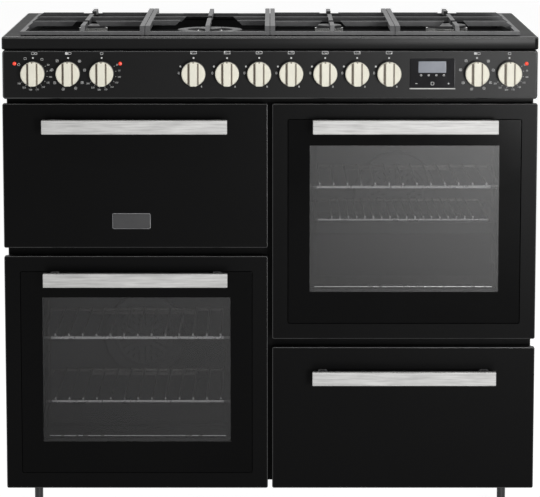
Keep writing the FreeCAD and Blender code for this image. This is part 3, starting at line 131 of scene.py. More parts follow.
# ---------------------------------------------------------------------------------------------
# Surfaces as grids of points
# ---------------------------------------------------------------------------------------------
def extent(node):
    """A node's lowest and highest corners as an array of two rows."""
    return np.array([tuple(corner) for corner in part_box(node)])


def shrink(span, inset):
    """A (low, high) span with each end moved inwards."""
    return span[0] + inset, span[1] - inset


def grid_shell(points, close_rows=False, caps=True, material=0, cap_material=None):
    """Quads between neighbours in a grid whose columns close on themselves.

    Its rows close too, or each end gets a face of its own. material is one number, or one for each
    strip of quads between two rows.
    """
    rows, columns = points.shape[:2]
    index = np.arange(rows * columns).reshape(rows, columns)
    if close_rows:
        index = np.vstack([index, index[:1]])
    wrapped = np.hstack([index, index[:, :1]])
    quads = np.stack([wrapped[:-1, :-1], wrapped[:-1, 1:], wrapped[1:, 1:], wrapped[1:, :-1]], axis=-1)
    faces = quads.reshape(-1, 4).tolist()
    numbers = np.repeat(np.broadcast_to(material, len(index) - 1), columns).tolist()
    if caps and not close_rows:
        faces += [index[0, ::-1].tolist(), index[-1].tolist()]
        numbers += [numbers[0] if cap_material is None else cap_material] * 2
    return points.reshape(-1, 3), faces, numbers


def rounded_rectangle(wide, high, corner, steps=6):
    """Outline of a rectangle: each corner's centre plus the corner radius along a quarter turn."""
    wide, high = np.array(wide), np.array(high)
    corner = max(corner, SHARP)
    middle = np.array([wide.mean(), high.mean()])
    reach = np.array([np.ptp(wide), np.ptp(high)]) / 2 - corner
    turn = np.linspace(0, np.pi / 2, steps + 1)
    angles = (np.arange(4)[:, None] * np.pi / 2 + turn).ravel()
    signs = np.repeat([(1, 1), (-1, 1), (-1, -1), (1, -1)], steps + 1, axis=0)
    return middle + signs * reach + corner * np.column_stack([np.cos(angles), np.sin(angles)])


def level(outline, height, facing):
    """An outline set in space: upright and facing the front, or lying and facing up."""
    across, up = outline.T
    flat = np.full(len(outline), height)
    columns = (across, flat, up) if facing == "front" else (across, up, flat)
    return np.column_stack(columns)


def stack(loops, facing="front"):
    """Rounded rectangles (wide, high, corner, height), one grid row each."""
    return np.stack([level(rounded_rectangle(wide, high, corner), height, facing)
                     for wide, high, corner, height in loops])


def eased(radius, steps=4):
    """(inset, drop) along a rounded edge: a quarter circle from the side to the face."""
    turn = np.linspace(0, np.pi / 2, steps + 1)
    return list(zip(radius * (1 - np.cos(turn)), radius * (1 - np.sin(turn))))


def plate(wide, high, corner, back, front, edge, facing="front", bright_edge=False, **extra):
    """A slab with a rounded outline and a rounded edge, with a finish of its own, round its face."""
    toward = 1 if back > front else -1
    rows = [(0, back)] + [(inset, front + toward * drop) for inset, drop in eased(edge)]
    rows.append((edge + LIP, front))
    loops = [(shrink(wide, inset), shrink(high, inset), corner - inset, height)
             for inset, height in rows]
    if bright_edge:
        extra["material"] = [0] + [1] * (len(rows) - 3) + [0]
    return grid_shell(stack(loops, facing), **extra)


def ring_plate(wide, high, corner, hole_wide, hole_high, hole_corner, back, front, edge,
               facing="front", bright_edge=False, **extra):
    """A slab with a rounded outline, a rectangular hole and rounded edges round both."""
    toward = 1 if back > front else -1
    outer = [(0, back)] + [(inset, front + toward * drop) for inset, drop in eased(edge)]
    outer.append((edge + LIP, front))
    loops = [(shrink(wide, inset), shrink(high, inset), corner - inset, height)
             for inset, height in outer]
    inner = [(edge / 2 + LIP, front), (edge / 2, front), (0, front + toward * edge / 2), (0, back)]
    loops += [(shrink(hole_wide, -inset), shrink(hole_high, -inset), hole_corner + inset, height)
              for inset, height in inner]
    if bright_edge:
        extra["material"] = [0] + [1] * (len(outer) - 3) + [0] * 6
    return grid_shell(stack(loops, facing), close_rows=True, **extra)


AXES = {
    # axis: (across, beside, along)
    "up": ((1, 0, 0), (0, 1, 0), (0, 0, 1)),
    "front": ((1, 0, 0), (0, 0, 1), (0, -1, 0)),
    "back": ((1, 0, 0), (0, 0, 1), (0, 1, 0)),
}


def lathe(profile, centre, axis="up", count=48, wave=None, **extra):
    """(radius, height) rows turned about an axis. wave adds an amount to each radius, row by column."""
    across, beside, along = (np.array(way, float) for way in AXES[axis])
    radius, height = np.array(profile, float).T
    turn = np.linspace(0, 2 * np.pi, count, endpoint=False)
    reach = radius[:, None] + (0 if wave is None else wave)
    spokes = np.cos(turn)[:, None] * across + np.sin(turn)[:, None] * beside
    points = np.array(centre) + reach[..., None] * spokes + height[:, None, None] * along
    return grid_shell(points, **extra)


def tube(path, radius, side, sides=8, **extra):
    """A round bar: circles in the plane of side and of the path's normal, along a flat path."""
    path = np.asarray(path, float)
    along = np.gradient(path, axis=0)
    along /= np.linalg.norm(along, axis=1, keepdims=True)
    side = np.array(side, float)
    turn = np.linspace(0, 2 * np.pi, sides, endpoint=False)[None, :, None]
    out = np.cross(side, along)[:, None]
    return grid_shell(path[:, None] + radius * (np.cos(turn) * side + np.sin(turn) * out), **extra)


def arc(centre, radius, start, end, steps):
    """Points of an arc in a plane, as two columns."""
    turn = np.radians(np.linspace(start, end, steps))
    return np.array(centre) + radius * np.column_stack([np.cos(turn), np.sin(turn)])


def piece(name, body, shells, finishes, stands_for=()):
    """One object from several shells, on the body that carries it."""
    points, faces, numbers = [], [], []
    start = 0
    for shell_points, shell_faces, shell_numbers in shells:
        points.append(shell_points)
        faces += [[start + corner for corner in face] for face in shell_faces]
        numbers += shell_numbers
        start += len(shell_points)
    mesh = bpy.data.meshes.new(name)
    mesh.from_pydata(np.concatenate(points).tolist(), [], faces)
    mesh.polygons.foreach_set("material_index", numbers)
    work = bmesh.new()
    work.from_mesh(mesh)
    bmesh.ops.recalc_face_normals(work, faces=work.faces)
    work.to_mesh(mesh)
    work.free()
    mesh.shade_smooth()
    mesh.set_sharp_from_angle(angle=SMOOTH_BELOW)
    for coat in finishes if isinstance(finishes, (list, tuple)) else [finishes]:
        mesh.materials.append(coat)
    made = bpy.data.objects.new(name, mesh)
    bpy.context.scene.collection.objects.link(made)
    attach(made, body)
    if stands_for:
        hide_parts(*stands_for)
    return made


# ---------------------------------------------------------------------------------------------
# Finishes
# ---------------------------------------------------------------------------------------------
class Finish:
    """A node-based material on one Principled shader, in object coordinates."""

    def __init__(self, name, **sockets):
        """Shader sockets are given by name, with _ for a space."""
        self.material = bpy.data.materials.new(name)
        self.material.use_nodes = True
        self.nodes = self.material.node_tree.nodes
        self.links = self.material.node_tree.links
        self.shader = self.nodes["Principled BSDF"]
        for socket, value in sockets.items():
            self.shader.inputs[socket.replace("_", " ")].default_value = value

    def place(self, scale=(1, 1, 1)):
        """Object coordinates times a scale."""
        spot = self.nodes.new("ShaderNodeTexCoord")
        mapping = self.nodes.new("ShaderNodeMapping")
        mapping.inputs["Scale"].default_value = scale
        self.links.new(spot.outputs["Object"], mapping.inputs["Vector"])
        return mapping.outputs["Vector"]

    def noise(self, scale, detail=3.0, stretch=(1, 1, 1)):
        """Fractal noise between 0 and 1."""
        texture = self.nodes.new("ShaderNodeTexNoise")
        texture.inputs["Scale"].default_value = scale
        texture.inputs["Detail"].default_value = detail
        self.links.new(self.place(stretch), texture.inputs["Vector"])
        return texture.outputs["Fac"]

    def cells(self, scale):
        """Voronoi cells, each of one random colour."""
        texture = self.nodes.new("ShaderNodeTexVoronoi")
        texture.inputs["Scale"].default_value = scale
        self.links.new(self.place(), texture.inputs["Vector"])
        return texture.outputs["Color"]

    def ramp(self, value, stops):
        """Colours or greys at places along a value."""
        node = self.nodes.new("ShaderNodeValToRGB")
        elements = node.color_ramp.elements
        while len(elements) < len(stops):
            elements.new(0.5)
        for element, (place, tint) in zip(elements, stops):
            element.position = place
            element.color = (*tint, 1.0)
        self.links.new(value, node.inputs["Fac"])
        return node.outputs["Color"]

    def range(self, value, low, high):
        """Low, plus the value times the way from low to high."""
        node = self.nodes.new("ShaderNodeMapRange")
        node.inputs["To Min"].default_value = low
        node.inputs["To Max"].default_value = high
        self.links.new(value, node.inputs["Value"])
        return node.outputs["Result"]

    def wire(self, output, socket):
        """Leads an output to one of the shader's sockets."""
        self.links.new(output, self.shader.inputs[socket])
        return self

    def spread(self, value, base, share):
        """The base colour, a little darker and lighter along a value."""
        base = np.array(base)
        return self.ramp(value, [(0.3, base * (1 - share)), (0.7, base * (1 + share))])

    def tinted(self, value, base, share):
        """Spreads the base colour along a value, on the shader."""
        return self.wire(self.spread(value, base, share), "Base Color")

    def mixed(self, tint, shade):
        """One colour lit and darkened by a grey around one half."""
        node = self.nodes.new("ShaderNodeMix")
        node.data_type = "RGBA"
        node.blend_type = "OVERLAY"
        node.inputs["Factor"].default_value = 1.0
        colour_sockets = [socket for socket in node.inputs if socket.type == "RGBA"]
        self.links.new(tint, colour_sockets[0])
        self.links.new(shade, colour_sockets[1])
        return next(socket for socket in node.outputs if socket.type == "RGBA")

    def bump(self, height, distance, strength):
        """Tilts the normal along the slope of a height."""
        node = self.nodes.new("ShaderNodeBump")
        node.inputs["Distance"].default_value = distance
        node.inputs["Strength"].default_value = strength
        self.links.new(height, node.inputs["Height"])
        self.links.new(node.outputs["Normal"], self.shader.inputs["Normal"])
        return self


def mottled(name, tint, share, grain, rough, patch, relief=None, **sockets):
    """A finish whose colour strays by a share, with a roughness that runs between two ends.

    Noise of the scale grain leads the colour, and of the scale patch the roughness. relief is the
    scale, detail, depth and strength of a fine bump.
    """
    made = Finish(name, **sockets)
    made.tinted(made.noise(grain), tint, share)
    made.wire(made.range(made.noise(patch), *rough), "Roughness")
    if relief:
        scale, detail, depth, strength = relief
        made.bump(made.noise(scale, detail), depth, strength)
    return made


FINISHES = {}


def finish(name):
    """The material of that name, made once by its function below."""
    if name not in FINISHES:
        FINISHES[name] = MAKERS[name](name, bpy.context.scene.cooker_colours).material
    return FINISHES[name]


def black_paint(name, colours):
    """Black paint of the door and drawer fronts, the front frame and the sides."""
    return mottled(name, colours.paint, share=0.12, grain=3.0, rough=(0.28, 0.32), patch=9.0,
                   relief=(900.0, 2.0, 0.02 * MM, 0.25), Specular_IOR_Level=0.05)


def panel_paint(name, colours):
    """The fronts' paint a little brighter, on the control panel and the side of the hob's rim."""
    return mottled(name, colours.paint, share=0.12, grain=3.0, rough=(0.30, 0.33), patch=9.0,
                   relief=(900.0, 2.0, 0.02 * MM, 0.25), Specular_IOR_Level=0.12)


def edge_paint(name, colours):
    """The same paint where it runs thick and glossy over a rounded edge."""
    return mottled(name, colours.paint, share=0.12, grain=3.0, rough=(0.24, 0.30), patch=9.0,
                   Specular_IOR_Level=0.6)


def hob_enamel(name, colours):
    """Black enamel on top of the hob."""
    return mottled(name, colours.enamel, share=0.15, grain=5.0, rough=(0.44, 0.50), patch=14.0,
                   relief=(350.0, 2.0, 0.04 * MM, 0.3), Specular_IOR_Level=0.03)


def glass_print_and_slot_shade(name, colours):
    """Black print behind a pane's border, and on the fan covers flat dark marks that stand for the slots:
    painted shade where the holes would be.
    """
    return mottled(name, (0.0010, 0.0010, 0.0011), share=0.2, grain=6.0, rough=(0.12, 0.18), patch=20.0,
                   Specular_IOR_Level=0.05)


def tinted_glass(name, colours, alpha=0.30, shine=0.80):
    """A grey pane: a share alpha of it is the glossy surface, and the rest lets light straight through."""
    made = Finish(name, Alpha=alpha, Specular_IOR_Level=shine)
    made.tinted(made.noise(4.0), (0.006, 0.006, 0.0063), 0.1)
    return made.wire(made.range(made.noise(12.0), 0.32, 0.35), "Roughness")


def inner_glass(name, colours):
    """The inner pane's clear middle."""
    return tinted_glass(name, colours, alpha=0.08, shine=0.3)


def shaded_glass(name, colours):
    """The inner pane's shaded band."""
    return tinted_glass(name, colours, alpha=0.38, shine=0.1)


def brushed_steel(name, colours):
    """Noise drawn out along X for the streaks, darkened and lit by a softer cloud."""
    made = Finish(name, Metallic=1.0)
    streaks = made.noise(420.0, 4.0, stretch=(0.05, 1, 1))
    cloud = made.noise(60.0, 3.0, stretch=(0.35, 1, 1))
    made.wire(made.mixed(made.spread(streaks, colours.steel, 0.18), made.spread(cloud, (0.5,) * 3, 0.10)),
              "Base Color")
    made.wire(made.range(cloud, 0.52, 0.64), "Roughness")
    return made.bump(streaks, 0.00005, 0.4)


def galvanised(name, colours):
    """Zinc spangle: one grey for each Voronoi cell."""
    made = Finish(name, Metallic=1.0)
    base = np.array((0.46, 0.47, 0.48))
    made.wire(made.ramp(made.cells(70.0), [(0.1, base * 0.82), (0.9, base * 1.15)]), "Base Color")
    made.wire(made.range(made.noise(40.0), 0.34, 0.5), "Roughness")
    return made.bump(made.noise(260.0, 2.0), 0.00004, 0.3)


def speckled_enamel(name, colours):
    """Dark enamel with lighter specks where a noise peaks."""
    made = Finish(name, Specular_IOR_Level=0.04)
    base = np.array(colours.cavity)
    made.wire(made.ramp(made.noise(500.0, 1.0), [(0.0, base * 0.97), (0.66, base), (0.78, base * 1.25)]),
              "Base Color")
    return made.wire(made.range(made.noise(30.0), 0.48, 0.56), "Roughness")


def liner_enamel(name, colours):
    """Black enamel with specks, on the inside of the doors."""
    made = Finish(name, Specular_IOR_Level=0.3)
    made.wire(made.ramp(made.noise(800.0, 1.0), [(0.0, (0.010,) * 3), (0.64, (0.012,) * 3),
                                                 (0.76, (0.035,) * 3)]), "Base Color")
    made.wire(made.range(made.noise(25.0), 0.28, 0.38), "Roughness")
    return made.bump(made.noise(700.0, 1.0), 0.00001, 0.2)


def chrome_wire(name, colours):
    """Bright front rods and wire ends of the shelves and the trivet, and the panes' rails."""
    return mottled(name, (0.88, 0.88, 0.89), share=0.04, grain=90.0, rough=(0.24, 0.32), patch=60.0,
                   Metallic=1.0)


def wire_in_painted_shade(name, colours):
    """Shelf wires, bars and racks: the chrome wire darkened, as painted shade."""
    return mottled(name, (0.17, 0.165, 0.16), share=0.12, grain=90.0, rough=(0.40, 0.52), patch=60.0,
                   Metallic=1.0)


def rubber(name, colours):
    """Door seals."""
    return mottled(name, (0.022, 0.022, 0.022), share=0.2, grain=60.0, rough=(0.6, 0.8), patch=90.0,
                   relief=(500.0, 3.0, 0.06 * MM, 0.4), Specular_IOR_Level=0.35)


def hinge_steel(name, colours):
    """Plain steel of hinges, fan blades, screws and the badge plate's border."""
    return mottled(name, (0.42, 0.42, 0.43), share=0.15, grain=50.0, rough=(0.3, 0.5), patch=70.0,
                   relief=(300.0, 3.0, 0.04 * MM, 0.3), Metallic=1.0)


def black_plastic(name, colours):
    """Feet, handle brackets, knob skirts and the bare badge plate."""
    return mottled(name, (0.016, 0.016, 0.017), share=0.15, grain=40.0, rough=(0.38, 0.5), patch=50.0,
                   relief=(700.0, 3.0, 0.03 * MM, 0.4), Specular_IOR_Level=0.4)


def element_sheath(name, colours):
    """Dark sheath of the heating elements."""
    return mottled(name, (0.14, 0.125, 0.11), share=0.35, grain=70.0, rough=(0.45, 0.65), patch=40.0,
                   relief=(500.0, 3.0, 0.04 * MM, 0.4), Metallic=0.7)


def burner_alloy(name, colours):
    """Bright cast alloy of the burner heads."""
    return mottled(name, colours.alloy, share=0.12, grain=140.0, rough=(0.26, 0.4), patch=60.0,
                   relief=(700.0, 3.0, 0.05 * MM, 0.4), Metallic=1.0)


def cap_enamel(name, colours):
    """Enamel of the burner caps."""
    return mottled(name, (0.035, 0.035, 0.036), share=0.2, grain=60.0, rough=(0.4, 0.55), patch=40.0,
                   relief=(420.0, 3.0, 0.08 * MM, 0.4), Specular_IOR_Level=0.45)


def ceramic(name, colours):
    """Pale ceramic of the igniters and flame sensors."""
    return mottled(name, (0.78, 0.76, 0.71), share=0.05, grain=90.0, rough=(0.2, 0.35), patch=60.0,
                   Specular_IOR_Level=0.5)


def cast_enamel(name, colours):
    """Satin enamel on the cast pan supports."""
    return mottled(name, colours.grate, share=0.15, grain=80.0, rough=(0.42, 0.56), patch=45.0,
                   relief=(380.0, 3.0, 0.15 * MM, 0.45), Specular_IOR_Level=0.5)


def brass(name, colours):
    """Gas pipes, taps and switches."""
    return mottled(name, (0.60, 0.47, 0.22), share=0.12, grain=50.0, rough=(0.25, 0.42), patch=60.0,
                   Metallic=1.0)


def gloss_black(name, colours):
    """The timer's gloss face."""
    return mottled(name, (0.006, 0.006, 0.0075), share=0.1, grain=30.0, rough=(0.06, 0.14), patch=30.0,
                   Specular_IOR_Level=0.15)


def screen_grey(name, colours):
    """The timer's unlit screen."""
    return mottled(name, (0.155, 0.17, 0.205), share=0.04, grain=60.0, rough=(0.15, 0.25), patch=30.0,
                   Specular_IOR_Level=0.4)


def neon_red(name, colours):
    """Red lenses that glow a little."""
    made = Finish(name, Specular_IOR_Level=0.5, Emission_Strength=0.35)
    made.shader.inputs["Emission Color"].default_value = (*colours.neon, 1.0)
    made.tinted(made.noise(300.0), colours.neon, 0.06)
    return made.wire(made.range(made.noise(60.0), 0.12, 0.2), "Roughness")


def ivory(name, colours):
    """Cream plastic of the knobs."""
    return mottled(name, colours.knob, share=0.02, grain=45.0, rough=(0.42, 0.50), patch=60.0,
                   relief=(900.0, 3.0, 0.01 * MM, 0.3), Specular_IOR_Level=0.35)


def painted_groove_shade(name, colours):
    """Painted shade: a dark brown for the shadow in a knob's grooves and its notch."""
    return mottled(name, colours.knob_groove_shade, share=0.15, grain=80.0, rough=(0.4, 0.5), patch=60.0,
                   Specular_IOR_Level=0.3)


def white_print(name, colours):
    """Printed marks and figures."""
    return mottled(name, (0.62, 0.62, 0.62), share=0.08, grain=400.0, rough=(0.45, 0.6), patch=60.0,
                   Specular_IOR_Level=0.3)


MAKERS = {maker.__name__: maker for maker in (
    black_paint, edge_paint, panel_paint, hob_enamel, glass_print_and_slot_shade, tinted_glass, inner_glass,
    shaded_glass, brushed_steel, galvanised, speckled_enamel, liner_enamel, chrome_wire, wire_in_painted_shade,
    rubber, hinge_steel, black_plastic, element_sheath, burner_alloy, cap_enamel, ceramic,
    cast_enamel, brass, gloss_black, screen_grey, neon_red, ivory, painted_groove_shade, white_print,
)}


# ---------------------------------------------------------------------------------------------
# Operators, one for each group of pieces
# ---------------------------------------------------------------------------------------------
class CookerOperator:
    """What every operator of the cooker shares."""

    bl_options = {"REGISTER"}

    def execute(self, context):
        """Builds the operator's pieces from the scene's sizes."""
        self.build(context.scene.cooker_sizes)
        return {"FINISHED"}


def spans(box):
    """The (low, high) pairs of a box along X, Y and Z."""
    return box[:, 0], box[:, 1], box[:, 2]


class COOKER_OT_fronts(CookerOperator, Operator):
    """Painted door frames round the glass, the grill door's front and the drawer's front"""

    bl_idname = "cooker.fronts"
    bl_label = "Door and Drawer Fronts"

    def build(self, sizes):
        paint = [finish("black_paint"), finish("edge_paint")]
        corner, edge = sizes.panel_corner, sizes.panel_edge
        for side in OVENS:
            wide, deep, high = spans(extent(f"{side}_door_frame"))
            glass_wide, _, glass_high = spans(extent(f"{side}_door_glass"))
            fit = 0.5 * MM
            shell = ring_plate(wide, high, corner, shrink(glass_wide, -fit), shrink(glass_high, -fit),
                               sizes.glass_corner + fit, deep[1], deep[0], edge, bright_edge=True)
            piece(f"{side}_oven_door_surround", f"{side}_oven_door", [shell], paint,
                  [f"{side}_door_frame"])
        skin = extent("grill_door_panel")[:, 1]
        wide, _, high = spans(extent("grill_door_panel"))
        piece("grill_door_front", "grill_door",
              [plate(wide, high, corner, skin[1], skin[0], edge, bright_edge=True)], paint,
              ["grill_door_panel"])
        wide, deep, high = spans(extent("drawer_front"))
        inset, sheet = 3 * MM, 1.5 * MM
        flange = [(shrink(wide, step), shrink(high, step), corner, height)
                  for step, height in ((inset, skin[1]), (inset, deep[1]), (inset + sheet, deep[1]),
                                       (inset + sheet, skin[1]))]
        piece("storage_drawer_front", "storage_drawer",
              [plate(wide, high, corner, skin[1], skin[0], edge, bright_edge=True),
               grid_shell(stack(flange), close_rows=True)], paint, ["drawer_front"])


def window(side):
    """The clear opening of an oven door, from the still air stated between its panes."""
    gap = next(opening["box_m"] for opening in frame["record"]["physics"]["openings"]
               if opening["name"] == f"{side}_door_pane_gap")
    margin = 1 * MM
    low, high = gap
    return shrink((low[0], high[0]), -margin), shrink((low[2], high[2]), -margin)


class COOKER_OT_glass(CookerOperator, Operator):
    """Outer panes with a black printed border, inner panes with a shaded band and a rail below"""

    bl_idname = "cooker.glass"
    bl_label = "Door Glass"

    def build(self, sizes):
        thick, edge = sizes.glass_thick, 0.8 * MM
        for side in OVENS:
            wide, deep, high = spans(extent(f"{side}_door_glass"))
            clear_wide, clear_high = window(side)
            corner = sizes.glass_corner
            front, back = deep[0], deep[0] + thick
            loops = [(clear_wide, clear_high, 1 * MM, back), (wide, high, corner, back)]
            loops += [(shrink(wide, inset), shrink(high, inset), corner - inset, front + drop)
                      for inset, drop in eased(edge, 3)]
            loops.append((shrink(wide, edge + LIP), shrink(high, edge + LIP), corner - edge, front))
            loops.append((clear_wide, clear_high, 1 * MM, front))
            outer = grid_shell(stack(loops), cap_material=1)
            piece(f"{side}_door_outer_glass", f"{side}_oven_door", [outer],
                  [finish("glass_print_and_slot_shade"), finish("tinted_glass")], [f"{side}_door_glass"])
            lap = 10 * MM
            pane_wide, pane_high = shrink(clear_wide, -lap), shrink(clear_high, -lap)
            view_wide = shrink(clear_wide, sizes.band_side)
            view_high = (clear_high[0] + sizes.band_low, pane_high[1] - edge)
            loops = [(view_wide, view_high, 2 * MM, deep[1]), (pane_wide, pane_high, 2 * MM, deep[1]),
                     (pane_wide, pane_high, 2 * MM, deep[1] - thick),
                     (view_wide, view_high, 2 * MM, deep[1] - thick)]
            inner = grid_shell(stack(loops), cap_material=1)
            piece(f"{side}_door_inner_glass", f"{side}_oven_door", [inner],
                  [finish("shaded_glass"), finish("inner_glass")])
            rail_z = clear_high[0] + 4.5 * MM
            rail = plate(shrink(view_wide, -4 * MM), (rail_z, rail_z + 1.3 * MM), 0.5 * MM,
                         deep[1] - thick - 0.2 * MM, deep[1] - thick - 1.2 * MM, 0.3 * MM)
            piece(f"{side}_pane_rail", f"{side}_oven_door", [rail],
                  finish("chrome_wire"))


HANDLES = {"left_door_handle": "left_oven_door", "right_door_handle": "right_oven_door",
           "grill_door_handle": "grill_door", "drawer_handle": "storage_drawer"}


class COOKER_OT_handles(CookerOperator, Operator):
    """Flat brushed bars, each on two short black brackets"""

    bl_idname = "cooker.handles"
    bl_label = "Handles"

    def build(self, sizes):
        inset, half_wide, half_high = 20 * MM, 6.5 * MM, 8 * MM
        for node, body in HANDLES.items():
            wide, deep, high = spans(extent(node))
            back = deep[0] + sizes.handle_bar
            edge = sizes.handle_edge
            rows = [(edge + LIP, back)]
            rows += [(step, back - drop) for step, drop in reversed(eased(edge))]
            rows += [(step, deep[0] + drop) for step, drop in eased(edge)]
            rows.append((edge + LIP, deep[0]))
            bar = grid_shell(stack([(shrink(wide, step), shrink(high, step), 1.5 * MM - step, height)
                                    for step, height in rows]))
            piece(f"{node}_bar", body, [bar], finish("brushed_steel"), [node])
            brackets = []
            middle = high.mean()
            for x in shrink(wide, inset):
                loops = [((x - half_wide - flare, x + half_wide + flare),
                          (middle - half_high - flare, middle + half_high + flare), 4 * MM, height)
                         for flare, height in ((0, back), (0, deep[1] - 5 * MM), (0.8 * MM, deep[1] - 2 * MM),
                                               (2.5 * MM, deep[1] - 0.4 * MM), (2.5 * MM, deep[1]))]
                brackets.append(grid_shell(stack(loops)))
            piece(f"{node}_brackets", body, brackets, finish("black_plastic"))


class COOKER_OT_hob(CookerOperator, Operator):
    """The hob's pressing: a turned-down rim round a sunken basin, with a ring round each burner"""

    bl_idname = "cooker.hob"
    bl_label = "Hob Pressing"

    def build(self, sizes):
        wide, deep, high = spans(extent("hob_top"))
        corner, brow = sizes.hob_corner, sizes.rim_round
        lip = 3 * MM
        rows = [(lip, high[0]), (lip * 0.3, high[0] + lip * 0.3), (0, high[0] + lip)]
        rows += [(inset, high[1] - drop) for inset, drop in eased(brow, 5)]
        rows.append((brow + LIP, high[1]))
        loops = [(shrink(wide, inset), shrink(deep, inset), corner - inset, height)
                 for inset, height in rows]
        basin_wide, basin_deep, floor = basin(sizes)
        roll = 3 * MM
        rows = [(-roll - LIP, high[1]), (-roll, high[1])]
        rows += [(-drop, high[1] - inset) for inset, drop in reversed(eased(roll))]
        rows += [(1.5 * MM + inset, floor + drop) for inset, drop in eased(6 * MM, 5)]
        rows.append((8.5 * MM, floor))
        loops += [(shrink(basin_wide, inset), shrink(basin_deep, inset), sizes.basin_corner - inset / 2,
                   height) for inset, height in rows]
        strips = np.zeros(len(loops) - 1, int)
        strips[2], strips[3:8] = 2, 1  # the rim's upright side, then its rounding
        shell = grid_shell(stack(loops, "up"), caps=False, material=strips)
        points, faces, numbers = shell
        # One face on the last row closes the basin's floor.
        last = len(points) - len(rounded_rectangle((0, 1), (0, 1), 0.1))
        faces.append(list(range(last, len(points))))
        numbers.append(0)
        top = piece("hob_pressing", "cooker", [shell],
                    [finish("hob_enamel"), finish("edge_paint"), finish("panel_paint")], ["hob_top"])
        wall = top.modifiers.new("sheet", "SOLIDIFY")
        wall.thickness = 1.2 * MM
        wall.offset = -1.0
        swages = []
        for x, y, ring in burners(sizes).values():
            outer = ring + 17 * MM
            profile = [(outer, -0.5 * MM), (outer, 0.2 * MM), (outer - 2 * MM, 1.2 * MM),
                       (outer - 5 * MM, 1.6 * MM), (outer - 8 * MM, 1.2 * MM),
                       (outer - 10 * MM, 0.2 * MM), (outer - 10 * MM, -0.5 * MM)]
            swages.append(lathe(profile, (x, y, floor), close_rows=True))
        piece("hob_burner_swages", "cooker", swages, finish("hob_enamel"))


def basin(sizes):
    """The basin's spans along X and Y and its floor, set in from the hob's edges."""
    wide, deep, high = spans(extent("hob_top"))
    side, front, rear = 40 * MM, 28 * MM, 118 * MM
    return shrink(wide, side), (deep[0] + front, deep[1] - rear), high[0] + 1.5 * MM


def burners(sizes):
    """Each burner's middle and ring radius, along the middle line of the pan support over it."""
    front, middle, rear = 126 * MM, 235 * MM, 350 * MM
    places = {
        "left_front": ("left", front, sizes.burner_rapid),
        "left_rear": ("left", rear, sizes.burner_small),
        "wok": ("wok", middle, sizes.burner_wok),
        "centre_front": ("centre", front, sizes.burner_medium),
        "centre_rear": ("centre", rear, sizes.burner_small),
        "right_front": ("right", front, sizes.burner_medium),
        "right_rear": ("right", rear, sizes.burner_medium),
    }
    found = {}
    for name, (support, along, ring) in places.items():
        box = extent(f"pan_support_{support}")
        found[name] = (box[:, 0].mean(), box[0, 1] + along, ring)
    return found


def ported_ring(ring, low, high, inner, centre, pitch):
    """A burner ring: its wall steps in at each flame port, in rows between its foot and its lid."""
    ports = int(2 * np.pi * ring / pitch)
    cut = 3 * MM
    profile = [(inner, low), (ring + 6 * MM, low), (ring + 6 * MM, low + 1.5 * MM),
               (ring + 1 * MM, low + 2.4 * MM), (ring - 0.5 * MM, low + 3.2 * MM),
               (ring - 0.5 * MM, low + 3.5 * MM), (ring, high - 1.6 * MM), (ring, high - 1.3 * MM),
               (ring, high), (inner, high)]
    column = np.tile([0, 0, 1, 1], ports)
    row = np.array([0, 0, 0, 0, 0, 1, 1, 0, 0, 0])
    wave = -cut * row[:, None] * column
    return lathe(profile, centre, count=4 * ports, wave=wave, close_rows=True)


def burner_cap(radius, low, high, centre, inner=None):
    """A lid with rounded shoulders, or a ring of one round a hole."""
    edge = 2 * MM
    shoulder = [(radius - inset, high - drop) for inset, drop in eased(edge)]
    profile = [(radius - 1 * MM, low), (radius, low + 0.8 * MM)] + shoulder
    if inner is None:
        profile += [(radius - edge - LIP, high), (radius * 0.5, high + 0.5 * MM),
                    (0.3 * MM, high + 0.6 * MM)]
        return lathe(profile, centre)
    profile += [(inner + inset, high - drop) for inset, drop in reversed(eased(edge))]
    profile.append((inner, low))
    return lathe(profile, centre, close_rows=True)


class COOKER_OT_burners(CookerOperator, Operator):
    """Seven burners: alloy heads with flame ports, enamelled caps, igniters and flame sensors"""

    bl_idname = "cooker.burners"
    bl_label = "Burners"

    def build(self, sizes):
        head_high, cap_high, wok_inner = 11 * MM, 6 * MM, 24 * MM
        floor = basin(sizes)[2]
        heads, caps, posts = [], [], []
        for name, (x, y, ring) in burners(sizes).items():
            centre = (x, y, floor)
            if name == "wok":
                gap = ring - 26 * MM
                heads.append(ported_ring(ring, 0, head_high, gap, centre, sizes.port_pitch))
                heads.append(lathe([(gap + 1 * MM, 0), (gap + 1 * MM, 3 * MM), (wok_inner, 4 * MM),
                                    (wok_inner, 0)], centre, close_rows=True))
                heads.append(ported_ring(wok_inner, 2 * MM, 15 * MM, 1 * MM, centre,
                                         sizes.port_pitch))
                caps.append(burner_cap(ring - 3 * MM, head_high, head_high + cap_high, centre,
                                       gap + 4 * MM))
                caps.append(burner_cap(wok_inner - 2 * MM, 15 * MM, 20 * MM, centre))
            else:
                heads.append(ported_ring(ring, 0, head_high, 1 * MM, centre, sizes.port_pitch))
                caps.append(burner_cap(ring - 3 * MM, head_high, head_high + cap_high, centre))
            beside = (ring + 3 * MM) * math.sqrt(0.5)
            for sign, thick in ((-1, 2.4 * MM), (1, 1.5 * MM)):
                spot = (x + sign * beside, y + beside, floor)
                posts.append(lathe([(thick, 1.5 * MM), (thick, 9 * MM), (thick * 0.8, 10 * MM),
                                    (thick * 0.4, 10.5 * MM), (thick * 0.4, 13.5 * MM)], spot, count=12))
        piece("burner_rings", "cooker", heads, finish("burner_alloy"), ["burner_heads"])
        piece("burner_lids", "cooker", caps, finish("cap_enamel"), ["burner_caps"])
        piece("igniter_pins", "cooker", posts, finish("ceramic"), ["igniters"])


